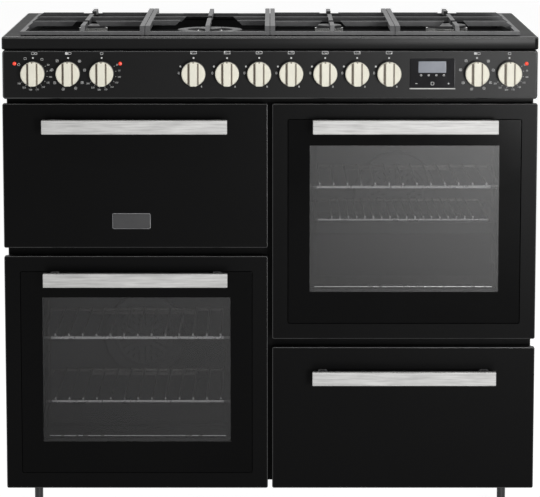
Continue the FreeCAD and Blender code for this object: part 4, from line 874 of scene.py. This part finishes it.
class COOKER_OT_control_panel(CookerOperator, Operator):
    """The control panel's pressing with its rounded edges"""

    bl_idname = "cooker.control_panel"
    bl_label = "Control Panel"

    def build(self, sizes):
        wide, deep, high = spans(extent("control_panel"))
        shell = plate(wide, high, sizes.panel_round, deep[1], deep[0], sizes.panel_brow,
                      bright_edge=True)
        piece("control_fascia", "cooker", [shell],
              [finish("panel_paint"), finish("edge_paint")], ["control_panel"])


GAS_KNOBS = ("left_front", "left_rear", "wok", "centre_rear", "centre_front", "right_rear",
             "right_front")
MODE_KNOBS = ("left_oven_mode", "right_oven_mode")
HEAT_KNOBS = ("grill", "left_oven_heat", "right_oven_heat")


def knob_middle(name):
    """A knob's middle on the panel: across, up."""
    box = extent(f"knob_{name}")
    return box[:, 0].mean(), box[:, 2].mean()


class COOKER_OT_knobs(CookerOperator, Operator):
    """Twelve cream knobs, each with a black skirt, a grip bar, and painted shade for a groove at each side
    and for the grip's notch
    """

    bl_idname = "cooker.knobs"
    bl_label = "Knobs"

    def build(self, sizes):
        materials = [finish("ivory"), finish("black_plastic"), finish("painted_groove_shade")]
        panel_front = extent("control_panel")[0, 1]
        gap, skirt, face, grip = 0.8 * MM, 5 * MM, 20 * MM, 28 * MM
        radius, half = sizes.knob_face, sizes.knob_bar / 2
        back = panel_front - gap
        for name in GAS_KNOBS + MODE_KNOBS + HEAT_KNOBS:
            x, z = knob_middle(name)
            at = (x, back, z)
            base = lathe([(radius + 0.7 * MM, 0), (radius + 0.9 * MM, 1 * MM),
                          (radius + 0.9 * MM, skirt - 1 * MM), (radius, skirt)],
                         at, "front", material=1)
            body = lathe([(radius - 0.4 * MM, skirt)]
                         + [(radius - inset, face - drop) for inset, drop in eased(2.2 * MM, 5)]
                         + [(radius - 2.6 * MM, face), (0.5 * MM, face - 0.6 * MM)], at, "front")
            reach = radius + 0.3 * MM
            rows = [(0, face - 1.5 * MM), (0.5 * MM, grip - 2 * MM)]
            rows += [(0.5 * MM + inset, grip - drop) for inset, drop in eased(1.6 * MM)]
            rows.append((2.1 * MM + LIP, grip))
            bar = grid_shell(stack([((x - half + inset, x + half - inset),
                                     (z - reach + inset * 0.6, z + reach - inset * 0.6), 2.6 * MM,
                                     back - height) for inset, height in rows]))
            shells = [base, body, bar]
            # Painted shade: a thin dark strip beside the grip, just proud of the face, stands for the shadow
            # in each groove.
            for side, wide in ((-1, 3.4 * MM), (1, 2.4 * MM)):
                start = x + side * half
                end = start + side * wide
                chord = math.sqrt(radius ** 2 - (half + wide) ** 2) - 0.3 * MM
                shells.append(grid_shell(stack([
                    ((min(start, end), max(start, end)), (z - chord, z + chord), 0.4 * MM, back - height)
                    for height in (face - 1 * MM, face + 0.35 * MM)]), material=2))
            # Painted shade: a dark plate on the grip's top end stands for the shadow in its notch.
            notch = z + reach - 1.8 * MM
            shells.append(grid_shell(stack([
                ((x - 1.3 * MM, x + 1.3 * MM), (notch, notch + 1.9 * MM), 0.8 * MM, back - height)
                for height in (grip - 4 * MM, grip + 0.05 * MM)]), material=2))
            piece(f"{name}_knob_body", f"knob_{name}", shells, materials,
                  [f"knob_{name}"])


# Printed marks lie on a face that looks to the front, a hair proud of it.
PRINT_LIFT = 0.12 * MM


def disc_mark(x, z, radius, y):
    """A round dot: a short turned cylinder."""
    return lathe([(radius, 0), (radius, PRINT_LIFT)], (x, y, z), "front", count=14)


def bar_mark(x, z, wide, high, y):
    """A filled rectangle."""
    loops = [((x - wide / 2, x + wide / 2), (z - high / 2, z + high / 2), 0.1 * MM, height)
             for height in (y, y - PRINT_LIFT)]
    return grid_shell(stack(loops))


def outline_mark(x, z, wide, high, line, corner, y):
    """A thin rectangular ring."""
    loops = [((x - wide / 2 + inset, x + wide / 2 - inset), (z - high / 2 + inset, z + high / 2 - inset),
              corner - inset, height)
             for inset, height in ((0, y), (0, y - PRINT_LIFT), (line, y - PRINT_LIFT), (line, y))]
    return grid_shell(stack(loops), close_rows=True)


def spoke_mark(x, z, turn, start, end, line, y):
    """A short bar along a radius, turned clockwise from the top."""
    way = np.array([math.sin(turn), math.cos(turn)])
    side = np.array([way[1], -way[0]]) * line / 2
    near, far = np.array([x, z]) + way * start, np.array([x, z]) + way * end
    outline = np.array([near - side, near + side, far + side, far - side])
    return grid_shell(np.stack([level(outline, height, "front") for height in (y, y - PRINT_LIFT)]))


def number_marks(entries, high, y):
    """Upright figures centred at places on the panel, as raised outlines of a plain font."""
    shells = []
    for text, x, z in entries:
        curve = bpy.data.curves.new("figures", "FONT")
        curve.body = text
        curve.size = high
        curve.align_x = "CENTER"
        curve.align_y = "CENTER"
        curve.resolution_u = 2
        curve.extrude = PRINT_LIFT / 2
        holder = bpy.data.objects.new("figures", curve)
        mesh = bpy.data.meshes.new_from_object(holder)
        flat = np.empty(len(mesh.vertices) * 3)
        mesh.vertices.foreach_get("co", flat)
        across, up, out = flat.reshape(-1, 3).T
        points = np.column_stack([x + across, y - PRINT_LIFT / 2 - out, z + up])
        faces = [list(polygon.vertices) for polygon in mesh.polygons]
        shells.append((points, faces, [0] * len(faces)))
        bpy.data.meshes.remove(mesh)
        bpy.data.objects.remove(holder)
        bpy.data.curves.remove(curve)
    return shells


class COOKER_OT_marks(CookerOperator, Operator):
    """Plain printed marks: a dot over each knob, burner maps, heat figures and small signs"""

    bl_idname = "cooker.marks"
    bl_label = "Printed Marks"

    def build(self, sizes):
        sign_ring, sign_up, dot_up = 31 * MM, 37 * MM, 28.6 * MM  # from a knob's middle
        tick_start, tick_end = 25.6 * MM, 27.6 * MM
        figures_across, figures_up = 33.2 * MM, 31.2 * MM  # half widths of the oval they stand on
        first_turn, turn_step = 60, 21.5  # degrees clockwise from the top
        first_heat, heat_step, heats = 50, 25, 9
        figure_high = 4.2 * MM
        y = extent("control_panel")[0, 1]
        shells, figures = [], []
        places = burners(sizes)
        hob = extent("hob_top")
        for name in GAS_KNOBS:
            x, z = knob_middle(name)
            map_z, map_wide, map_high = z + 38.5 * MM, 12 * MM, 5.6 * MM
            shells.append(outline_mark(x, map_z, map_wide, map_high, 0.7 * MM, 1.2 * MM, y))
            for spot, (burner_x, burner_y, _) in places.items():
                across = (burner_x - hob[:, 0].mean()) / np.ptp(hob[:, 0]) * map_wide * 1.05
                up = (burner_y + 25 * MM) / np.ptp(hob[:, 1]) * map_high * 1.1
                radius = 1.1 * MM if spot == name else 0.45 * MM
                shells.append(disc_mark(x + across, map_z + up, radius, y))
            shells.append(disc_mark(x - 24.6 * MM, z + 12.6 * MM, 1.9 * MM, y))
            shells.append(outline_mark(x - 27.6 * MM, z + 0.5 * MM, 3 * MM, 5 * MM, 0.8 * MM,
                                       1.4 * MM, y))
            shells.append(outline_mark(x + 14.6 * MM, z - 25 * MM, 2.2 * MM, 3.4 * MM, 0.7 * MM,
                                       1.0 * MM, y))
        for name in MODE_KNOBS:
            x, z = knob_middle(name)
            for number, degrees in enumerate((43, 79, 124, 154, 198, 235, 282, 319)):
                turn = math.radians(degrees)
                spot = (x + sign_ring * math.sin(turn), z + sign_ring * math.cos(turn))
                shells.append(outline_mark(*spot, 5 * MM, 4.6 * MM, 0.55 * MM, 1.5 * MM, y))
                if number % 2:
                    shells.append(bar_mark(*spot, 2.6 * MM, 0.7 * MM, y))
                else:
                    shells.append(disc_mark(*spot, 0.9 * MM, y))
            shells.append(bar_mark(x - 3 * MM, z + sign_up, 5 * MM, 4.4 * MM, y))
            shells.append(outline_mark(x + 3.2 * MM, z + sign_up, 6 * MM, 4.4 * MM, 0.6 * MM,
                                       1.2 * MM, y))
        for name in HEAT_KNOBS:
            x, z = knob_middle(name)
            for step in range(heats):
                turn = math.radians(first_turn + step * turn_step)
                shells.append(spoke_mark(x, z, turn, tick_start, tick_end, 0.6 * MM, y))
                figures.append((str(first_heat + heat_step * step), x + figures_across * math.sin(turn),
                                z + figures_up * math.cos(turn)))
            shells.append(outline_mark(x, z + sign_up, 5.6 * MM, 5 * MM, 0.6 * MM, 1.6 * MM, y))
            if name == "grill":
                shells.append(outline_mark(x + 5.6 * MM, z + sign_up, 5 * MM, 4 * MM, 0.6 * MM,
                                           1.2 * MM, y))
                for degrees in (33, 302, 332):
                    turn = math.radians(degrees)
                    shells.append(outline_mark(x + sign_ring * math.sin(turn),
                                               z + sign_ring * math.cos(turn), 4.8 * MM, 4.4 * MM,
                                               0.55 * MM, 1.4 * MM, y))
        for name in GAS_KNOBS + MODE_KNOBS + HEAT_KNOBS:
            x, z = knob_middle(name)
            shells.append(disc_mark(x, z + dot_up, 1.7 * MM, y))
        shells += number_marks(figures, figure_high, y)
        piece("panel_marks", "cooker", shells, finish("white_print"))


# Across the panel. The three lenses are one CAD node, and its box gives only the outer two.
MIDDLE_NEON = -279 * MM


class COOKER_OT_timer(CookerOperator, Operator):
    """The timer: a gloss face, a grey screen, touch marks and a bright lower lip; and the neon lamps"""

    bl_idname = "cooker.timer"
    bl_label = "Timer and Neon Lamps"

    def build(self, sizes):
        wide, deep, high = spans(extent("timer_module"))
        panel_front = extent("control_panel")[0, 1]
        front = deep[0] - 0.5 * MM
        face = plate(wide, high, 1.5 * MM, panel_front + 1 * MM, front, 0.5 * MM)
        piece("timer_face_plate", "cooker", [face], finish("gloss_black"),
              ["timer_module"])
        lip = plate(shrink(wide, -0.8 * MM), (high[0] - 2.2 * MM, high[0] + 0.2 * MM), 1 * MM,
                    panel_front + 0.5 * MM, front - 0.6 * MM, 0.6 * MM)
        piece("timer_lip", "cooker", [lip], finish("brushed_steel"))
        middle = wide.mean()
        screen_wide = (middle - 26.3 * MM, middle + 25.2 * MM)
        screen_high = (high[1] - 26.5 * MM, high[1] - 5 * MM)
        screen = plate(screen_wide, screen_high, 0.6 * MM, front + 0.3 * MM, front - 0.15 * MM, 0.1 * MM)
        piece("timer_screen", "cooker", [screen], finish("screen_grey"))
        marks = []
        icon_z, key_z, key_aside = high[1] - 31 * MM, high[1] - 46.5 * MM, 30 * MM
        for number, x in enumerate(np.linspace(screen_wide[0] + 5 * MM, screen_wide[1] - 4 * MM, 4)):
            marks.append(outline_mark(x, icon_z, 4 * MM, 3.4 * MM, 0.6 * MM, 1.4 * MM, front))
            marks.append(disc_mark(x, icon_z + (number - 1.5) * 0.4 * MM, 0.7 * MM, front))
        marks.append(outline_mark(middle, key_z, 6 * MM, 6.4 * MM, 0.8 * MM, 1.6 * MM, front))
        marks.append(bar_mark(middle - key_aside, key_z, 4 * MM, 0.9 * MM, front))
        marks.append(bar_mark(middle + key_aside, key_z, 3.6 * MM, 0.9 * MM, front))
        marks.append(bar_mark(middle + key_aside, key_z, 0.9 * MM, 3.6 * MM, front - PRINT_LIFT / 2))
        piece("timer_marks", "cooker", marks, finish("white_print"))
        across, _, up = spans(extent("neon_lenses"))
        radius = np.ptp(up) / 2
        lenses = []
        for x in (across[0] + radius, MIDDLE_NEON, across[1] - radius):
            profile = [(radius, -2 * MM), (radius, 0.6 * MM)]
            profile += [(radius * math.cos(turn), 0.6 * MM + 1.6 * MM * math.sin(turn))
                        for turn in np.linspace(0.1, 1.45, 6)]
            lenses.append(lathe(profile, (x, panel_front, up.mean()), "front", count=20))
        piece("neon_lamps", "cooker", lenses, finish("neon_red"), ["neon_lenses"])


def wire_grid(middle, half, front, rear, z, count, pitch, rod, wire, tip):
    """A wire shelf: a frame of rods with wires on it, each turned up where it meets the front rod.

    The front rod and the upturned ends are bright chrome. The rear and side rods and each wire's long run are
    the same wire darkened, as painted shade.
    """
    shells = []
    # Material 1 is the darkened wire: painted shade on the rear rod, the side rods and each wire's long run.
    for y, bright in ((front, 0), (rear, 1)):
        shells.append(tube([(middle - half, y, z), (middle + half, y, z)], rod, (0, 1, 0),
                           material=bright))
    for x in (middle - half, middle + half):
        shells.append(tube([(x, front, z), (x, rear, z)], rod, (1, 0, 0), material=1))
    top = z + rod + wire * 0.6
    bend = 2.5 * MM
    curl = arc((front - 1 * MM, top + bend), bend, 270, 180, 5)
    for x in middle + (np.arange(count) - (count - 1) / 2) * pitch:
        path = [(x, rear, top), (x, front + 1 * MM, top)]
        path += [(x, y, height) for y, height in curl]
        path.append((x, curl[-1][0], curl[-1][1] + tip))
        shells.append(tube(path, wire, (1, 0, 0), 6, material=[1] + [0] * (len(path) - 2)))
    return shells


def pressed_tray(wide, deep, rim, depth, wall):
    """A tray as one closed skin: rim, wall and floor inside, and back up outside."""
    lip, corner, draft = 9 * MM, 14 * MM, 4 * MM
    rows = [(0, rim - wall), (0, rim), (lip, rim), (lip + 2 * MM, rim - 2 * MM),
            (lip + draft, rim - depth + 5 * MM), (lip + draft + 4 * MM, rim - depth + wall)]
    loops = [(shrink(wide, inset), shrink(deep, inset), corner, height) for inset, height in rows]
    inside = stack(loops, "up")
    rows = [(lip + draft + 4 * MM, rim - depth), (lip + draft - wall, rim - depth + 4 * MM),
            (lip + 1 * MM, rim - wall - 1 * MM), (lip - wall, rim - wall)]
    loops = [(shrink(wide, inset), shrink(deep, inset), corner, height) for inset, height in rows]
    outside = stack(loops, "up")
    grid = np.concatenate([outside, inside])
    return grid_shell(grid)


class COOKER_OT_oven_insides(CookerOperator, Operator):
    """Wire shelves, trays with a trivet and fan covers with rows of slots drawn as painted shade"""

    bl_idname = "cooker.oven_insides"
    bl_label = "Oven Insides"

    def build(self, sizes):
        rod, wire, count = sizes.shelf_rod, sizes.shelf_wire, sizes.shelf_wires
        wall, tray_wall, tip = 1.2 * MM, 1.5 * MM, 2 * MM
        side_gap, front_gap, rear_gap = 14 * MM, 17 * MM, 55 * MM
        shelf_pitch, cross_wires = 26.3 * MM, (28 * MM, 46 * MM)
        roasting_up, roasting_deep = 178 * MM, 26 * MM
        grill_up, grill_deep, grill_side = 60 * MM, 32 * MM, 16 * MM
        trivet_wires, trivet_pitch = 18, 15.8 * MM
        shelves, covers = [], []
        heights = {"left": (121 * MM, 245 * MM), "right": (247 * MM,)}
        half_shelf = {}
        for side in OVENS:
            wide, deep, high = spans(extent(f"oven_cavity_{side}"))
            middle = wide.mean()
            half = np.ptp(wide) / 2 - wall - side_gap
            front, rear = deep[0] + front_gap, deep[1] - wall - rear_gap
            for up in heights[side]:
                z = high[0] + wall + up
                shelves += wire_grid(middle, half, front, rear, z, count, shelf_pitch, rod, wire, tip)
                # Cross wires in the darkened wire, painted shade.
                for ahead in cross_wires:
                    y, reach = rear - ahead, half * 0.56
                    shelves.append(tube([(middle - reach, y, z), (middle + reach, y, z)], wire,
                                        (0, 1, 0), 6, material=1))
            covers += self.fan_cover(middle, high.mean() + 0.75 * MM, deep[1] - wall)
            half_shelf[side] = (middle, half, front, rear, high[0] + wall)
        piece("oven_wire_shelves", "cooker", shelves,
              [finish("chrome_wire"), finish("wire_in_painted_shade")], ["oven_shelves"])
        piece("fan_cover_plates", "cooker", covers,
              [finish("speckled_enamel"), finish("glass_print_and_slot_shade")], ["fan_covers"])
        middle, half, front, rear, floor = half_shelf["right"]
        rim, tray_deep = floor + roasting_up, (front + 8 * MM, rear)
        roasting = pressed_tray((middle - half, middle + half), tray_deep, rim, roasting_deep, tray_wall)
        wide, deep, high = spans(extent("grill_cavity"))
        grill_rim = high[0] + wall + grill_up
        grill = pressed_tray(shrink(wide, grill_side), tray_deep, grill_rim, grill_deep, tray_wall)
        piece("roasting_and_grill_trays", "cooker", [roasting, grill],
              finish("speckled_enamel"), ["pans_and_trivet"])
        trivet = wire_grid(middle, half - 22 * MM, front + 20 * MM, rear - 14 * MM, rim + rod,
                           trivet_wires, trivet_pitch, rod * 0.8, wire * 0.9, tip)
        piece("tray_trivet", "cooker", trivet,
              [finish("chrome_wire"), finish("wire_in_painted_shade")])

    def fan_cover(self, x, z, back):
        """A pressed disc with a raised middle and three rings of slots, drawn as flat dark marks: painted
        shade for the dark behind the holes.
        """
        outer, raised, deep = 82 * MM, 60 * MM, 40 * MM
        profile = [(outer, 0), (outer, deep - 6 * MM), (outer - 1.5 * MM, deep - 4.5 * MM),
                   (raised + 3 * MM, deep - 4 * MM), (raised + 1 * MM, deep - 3 * MM),
                   (raised, deep - 0.5 * MM), (raised - 1 * MM, deep), (raised - 5 * MM, deep),
                   (raised - 6 * MM, deep - 0.8 * MM), (20 * MM, deep - 0.8 * MM),
                   (18 * MM, deep - 0.2 * MM), (0.5 * MM, deep - 0.2 * MM)]
        shells = [lathe(profile, (x, back, z), "front", count=64)]
        # Painted shade: each slot is a flat dark mark on the disc's face, not a hole.
        for radius, slots in ((25 * MM, 12), (36 * MM, 18), (47 * MM, 24)):
            for turn in np.arange(slots) * 2 * np.pi / slots:
                shell = spoke_mark(x, z, turn, radius - 4 * MM, radius + 4 * MM, 2.2 * MM,
                                   back - deep + 0.8 * MM)
                shells.append((shell[0], shell[1], [1] * len(shell[1])))
        return shells


class COOKER_OT_badge_place(CookerOperator, Operator):
    """A bare plate with a bright border where the grill door's badge would be"""

    bl_idname = "cooker.badge_place"
    bl_label = "Bare Badge Plate"

    def build(self, sizes):
        door = extent("grill_door_panel")
        aside, above, half_wide, tall, line = 8 * MM, 36.2 * MM, 35.8 * MM, 29.4 * MM, 1.0 * MM
        middle = door[:, 0].mean() - aside
        low = door[0, 2] + above
        wide, high = (middle - half_wide, middle + half_wide), (low, low + tall)
        front = door[0, 1]
        field = plate(shrink(wide, line), shrink(high, line), 2 * MM, front, front - 0.8 * MM, 0.3 * MM)
        border = ring_plate(wide, high, 3 * MM, shrink(wide, line), shrink(high, line), 2 * MM, front,
                            front - 1.2 * MM, 0.4 * MM, material=1)
        piece("bare_badge_plate", "grill_door", [field, border],
              [finish("black_plastic"), finish("hinge_steel")])


class COOKER_OT_carcass(CookerOperator, Operator):
    """Screws round the back panel and on the terminal box's cover"""

    bl_idname = "cooker.carcass"
    bl_label = "Carcass Details"

    def build(self, sizes):
        wide, deep, high = spans(extent("back_panel"))
        margin, cover_margin = 12 * MM, 9 * MM
        across, up = shrink(wide, margin), shrink(high, margin)
        spots = [(x, z) for x in np.linspace(*across, 6) for z in up]
        spots += [(x, z) for x in across for z in np.linspace(*up, 6)[1:-1]]
        screws = [self.screw((x, deep[1], z)) for x, z in spots]
        wide, deep, high = spans(extent("terminal_box"))
        screws += [self.screw((x, deep[1], z))
                   for x in shrink(wide, cover_margin) for z in shrink(high, cover_margin)]
        piece("rear_screws", "cooker", screws, finish("hinge_steel"))

    def screw(self, spot):
        """A pan head: a low dome with a dished recess."""
        profile = [(4 * MM, 0), (4 * MM, 0.6 * MM), (3.4 * MM, 1.6 * MM), (2.2 * MM, 2.1 * MM),
                   (1.7 * MM, 2.1 * MM), (1.4 * MM, 1.0 * MM), (0.3 * MM, 0.8 * MM)]
        return lathe(profile, spot, "back", count=16)


CARRIED = {
    # CAD nodes that stay as they are, by finish
    "black_paint": ("side_panels", "front_frame"),
    "liner_enamel": ("left_door_core", "right_door_core", "grill_door_core"),
    "galvanised": ("back_panel", "base_pan", "centre_divider", "drawer_box", "drawer_runners",
                   "terminal_box", "fan_motors"),
    "speckled_enamel": ("oven_cavity_left", "oven_cavity_right", "grill_cavity"),
    # The side racks take the darkened wire, painted shade.
    "wire_in_painted_shade": ("side_racks",),
    "rubber": ("door_seals",),
    "hinge_steel": ("door_hinges", "fan_blade_left", "fan_blade_right"),
    "black_plastic": ("levelling_feet",),
    "element_sheath": ("heating_elements",),
    "cast_enamel": tuple(f"pan_support_{name}" for name in SUPPORTS),
    "brass": ("gas_pipework", "taps_and_switches"),
}


class COOKER_OT_carried_pieces(CookerOperator, Operator):
    """Finishes on the pieces that keep their CAD shape, and rounded edges on the pan supports"""

    bl_idname = "cooker.carried_pieces"
    bl_label = "Carried-over Pieces"

    def build(self, sizes):
        for name, nodes in CARRIED.items():
            for node in nodes:
                mesh = frame["nodes"][node].data
                mesh.materials.clear()
                mesh.materials.append(finish(name))
        for name in SUPPORTS:
            casting = frame["nodes"][f"pan_support_{name}"]
            weld = casting.modifiers.new("weld", "WELD")
            weld.merge_threshold = 0.01 * MM
            bevel = casting.modifiers.new("bevel", "BEVEL")
            bevel.width = 1.6 * MM
            bevel.segments = 3
            bevel.limit_method = "ANGLE"
            bevel.angle_limit = math.radians(25)


# ---------------------------------------------------------------------------------------------
# Studio
# ---------------------------------------------------------------------------------------------
CAMERA_DISTANCE = 5.5  # in front of the hob's front edge
CAMERA_RISE = 0.4484  # above the hob's rim
CAMERA_PITCH = 8.23  # degrees below level
CAMERA_LENS = 197.5  # millimetres on a 36 mm sensor
CAMERA_SHIFT = -0.05
FLOOR_HALF = 14.0
FLOOR_GREY, FLOOR_GLOW = (0.45, 0.45, 0.45, 1), (0.86, 0.86, 0.86, 1)
UNSEEN_WORLD = 0.26  # the world's light on the object
LAMPS = (
    # name, place, point it faces, width, height, watts
    ("key", (1.3, -4.6, 0.75), (0.1, -0.28, 0.6), 0.9, 0.9, 108),
    ("fill", (-3.2, -2.6, 1.5), (0, 0, 0.5), 0.5, 1.8, 7),
    ("brow", (0.2, -1.7, 2.5), (0, -0.28, 0.8), 2.6, 0.1, 12),
    ("top", (0.2, 0.6, 2.6), (0, 0, 0.9), 2.4, 1.0, 26),
)
OVEN_LAMPS = {
    # side: (how far right of the oven's middle, watts)
    "left": (0.0, 0.16),
    "right": (0.10, 0.50),
}
OVEN_LAMP_WIDE, OVEN_LAMP_HIGH = 0.26, 0.02
OVEN_LAMP_BEHIND, OVEN_LAMP_BELOW = 0.015, 0.012  # from the oven's front edge and its roof
OVEN_AIM_BEHIND, OVEN_AIM_BELOW = 0.22, 0.16  # the same for the point it faces


class COOKER_OT_studio(CookerOperator, Operator):
    """A pale floor, soft lamps, a lamp in each oven and the camera"""

    bl_idname = "cooker.studio"
    bl_label = "Studio"

    def build(self, sizes):
        self.floor()
        self.world()
        self.lamps()
        self.camera()
        bpy.context.scene.view_settings.view_transform = "Standard"

    def seen(self, nodes, links):
        """1 for rays from the camera and through gloss or glass, and else 0."""
        path = nodes.new("ShaderNodeLightPath")
        total = path.outputs["Is Camera Ray"]
        for name in ("Is Glossy Ray", "Is Transmission Ray"):
            add = nodes.new("ShaderNodeMath")
            add.operation = "MAXIMUM"
            links.new(total, add.inputs[0])
            links.new(path.outputs[name], add.inputs[1])
            total = add.outputs[0]
        return total

    def floor(self):
        """A square that scatters light, and glows for the camera and through gloss and glass."""
        size = FLOOR_HALF
        mesh = bpy.data.meshes.new("floor")
        mesh.from_pydata([(-size, -size, 0), (size, -size, 0), (size, size, 0), (-size, size, 0)], [],
                         [(0, 1, 2, 3)])
        ground = bpy.data.objects.new("floor", mesh)
        bpy.context.scene.collection.objects.link(ground)
        material = bpy.data.materials.new("pale_floor")
        material.use_nodes = True
        nodes, links = material.node_tree.nodes, material.node_tree.links
        nodes.clear()
        diffuse = nodes.new("ShaderNodeBsdfDiffuse")
        diffuse.inputs["Color"].default_value = FLOOR_GREY
        glow = nodes.new("ShaderNodeEmission")
        glow.inputs["Color"].default_value = FLOOR_GLOW
        links.new(self.seen(nodes, links), glow.inputs["Strength"])
        both = nodes.new("ShaderNodeAddShader")
        out = nodes.new("ShaderNodeOutputMaterial")
        links.new(diffuse.outputs[0], both.inputs[0])
        links.new(glow.outputs[0], both.inputs[1])
        links.new(both.outputs[0], out.inputs["Surface"])
        mesh.materials.append(material)

    def world(self):
        """A low level for light on the object, and 1 for the camera and through gloss and glass."""
        world = bpy.data.worlds.new("studio")
        bpy.context.scene.world = world
        world.use_nodes = True
        nodes, links = world.node_tree.nodes, world.node_tree.links
        nodes.clear()
        seen = self.seen(nodes, links)
        strength = nodes.new("ShaderNodeMapRange")
        strength.inputs["To Min"].default_value = UNSEEN_WORLD
        strength.inputs["To Max"].default_value = 1.0
        links.new(seen, strength.inputs["Value"])
        background = nodes.new("ShaderNodeBackground")
        background.inputs["Color"].default_value = (1, 1, 1, 1)
        links.new(strength.outputs["Result"], background.inputs["Strength"])
        out = nodes.new("ShaderNodeOutputWorld")
        links.new(background.outputs[0], out.inputs["Surface"])

    def area(self, name, place, aim, wide, high, power):
        """A rectangular lamp turned towards a point."""
        data = bpy.data.lights.new(name, "AREA")
        data.shape = "RECTANGLE"
        data.size, data.size_y, data.energy = wide, high, power
        lamp = bpy.data.objects.new(name, data)
        lamp.location = place
        away = Vector(place) - Vector(aim)
        lamp.rotation_euler = away.to_track_quat("Z", "Y").to_euler()
        bpy.context.scene.collection.objects.link(lamp)
        return lamp

    def lamps(self):
        """Studio lamps from the table, and one under each oven's roof behind its door."""
        for lamp in LAMPS:
            self.area(*lamp)
        for side, (right, power) in OVEN_LAMPS.items():
            wide, deep, high = spans(extent(f"oven_cavity_{side}"))
            middle, front, roof = wide.mean(), deep[0], high[1]
            self.area(f"{side}_oven_lamp",
                      (middle + right, front + OVEN_LAMP_BEHIND, roof - OVEN_LAMP_BELOW),
                      (middle, front + OVEN_AIM_BEHIND, roof - OVEN_AIM_BELOW),
                      OVEN_LAMP_WIDE, OVEN_LAMP_HIGH, power)

    def camera(self):
        """In front of the hob's edge, above its rim, looking down a little."""
        hob = extent("hob_top")
        data = bpy.data.cameras.new("camera")
        data.sensor_width = 36
        data.lens = CAMERA_LENS
        data.shift_y = CAMERA_SHIFT
        data.clip_end = 60
        camera = bpy.data.objects.new("camera", data)
        camera.location = (0, hob[0, 1] - CAMERA_DISTANCE, hob[1, 2] + CAMERA_RISE)
        camera.rotation_euler = (math.radians(90 - CAMERA_PITCH), 0, 0)
        bpy.context.scene.collection.objects.link(camera)
        bpy.context.scene.camera = camera


OPERATORS = (
    COOKER_OT_carried_pieces, COOKER_OT_fronts, COOKER_OT_glass, COOKER_OT_handles, COOKER_OT_hob,
    COOKER_OT_burners, COOKER_OT_control_panel, COOKER_OT_knobs, COOKER_OT_marks, COOKER_OT_timer,
    COOKER_OT_oven_insides, COOKER_OT_badge_place, COOKER_OT_carcass, COOKER_OT_studio,
)


class COOKER_PT_sidebar(Panel):
    """Sizes, colours and one button for each operator."""

    bl_label = "Range Cooker"
    bl_idname = "COOKER_PT_sidebar"
    bl_space_type = "VIEW_3D"
    bl_region_type = "UI"
    bl_category = "Range Cooker"

    def draw(self, context):
        """Every size and colour, then the buttons."""
        for group in (context.scene.cooker_sizes, context.scene.cooker_colours):
            box = self.layout.box()
            for name in group.bl_rna.properties.keys():
                if name not in {"rna_type", "name"}:
                    box.prop(group, name)
        for operator in OPERATORS:
            self.layout.operator(operator.bl_idname)


CLASSES = (CookerSizes, CookerColours, *OPERATORS, COOKER_PT_sidebar)


def register():
    """Classes first, then the two groups on the scene."""
    for each in CLASSES:
        bpy.utils.register_class(each)
    bpy.types.Scene.cooker_sizes = PointerProperty(type=CookerSizes)
    bpy.types.Scene.cooker_colours = PointerProperty(type=CookerColours)


def unregister():
    """The reverse of register."""
    del bpy.types.Scene.cooker_colours
    del bpy.types.Scene.cooker_sizes
    for each in reversed(CLASSES):
        bpy.utils.unregister_class(each)


def main():
    """Runs every operator in its order."""
    register()
    for operator in OPERATORS:
        getattr(bpy.ops.cooker, operator.bl_idname.split(".")[1])()


if __name__ == "__main__":
    main()
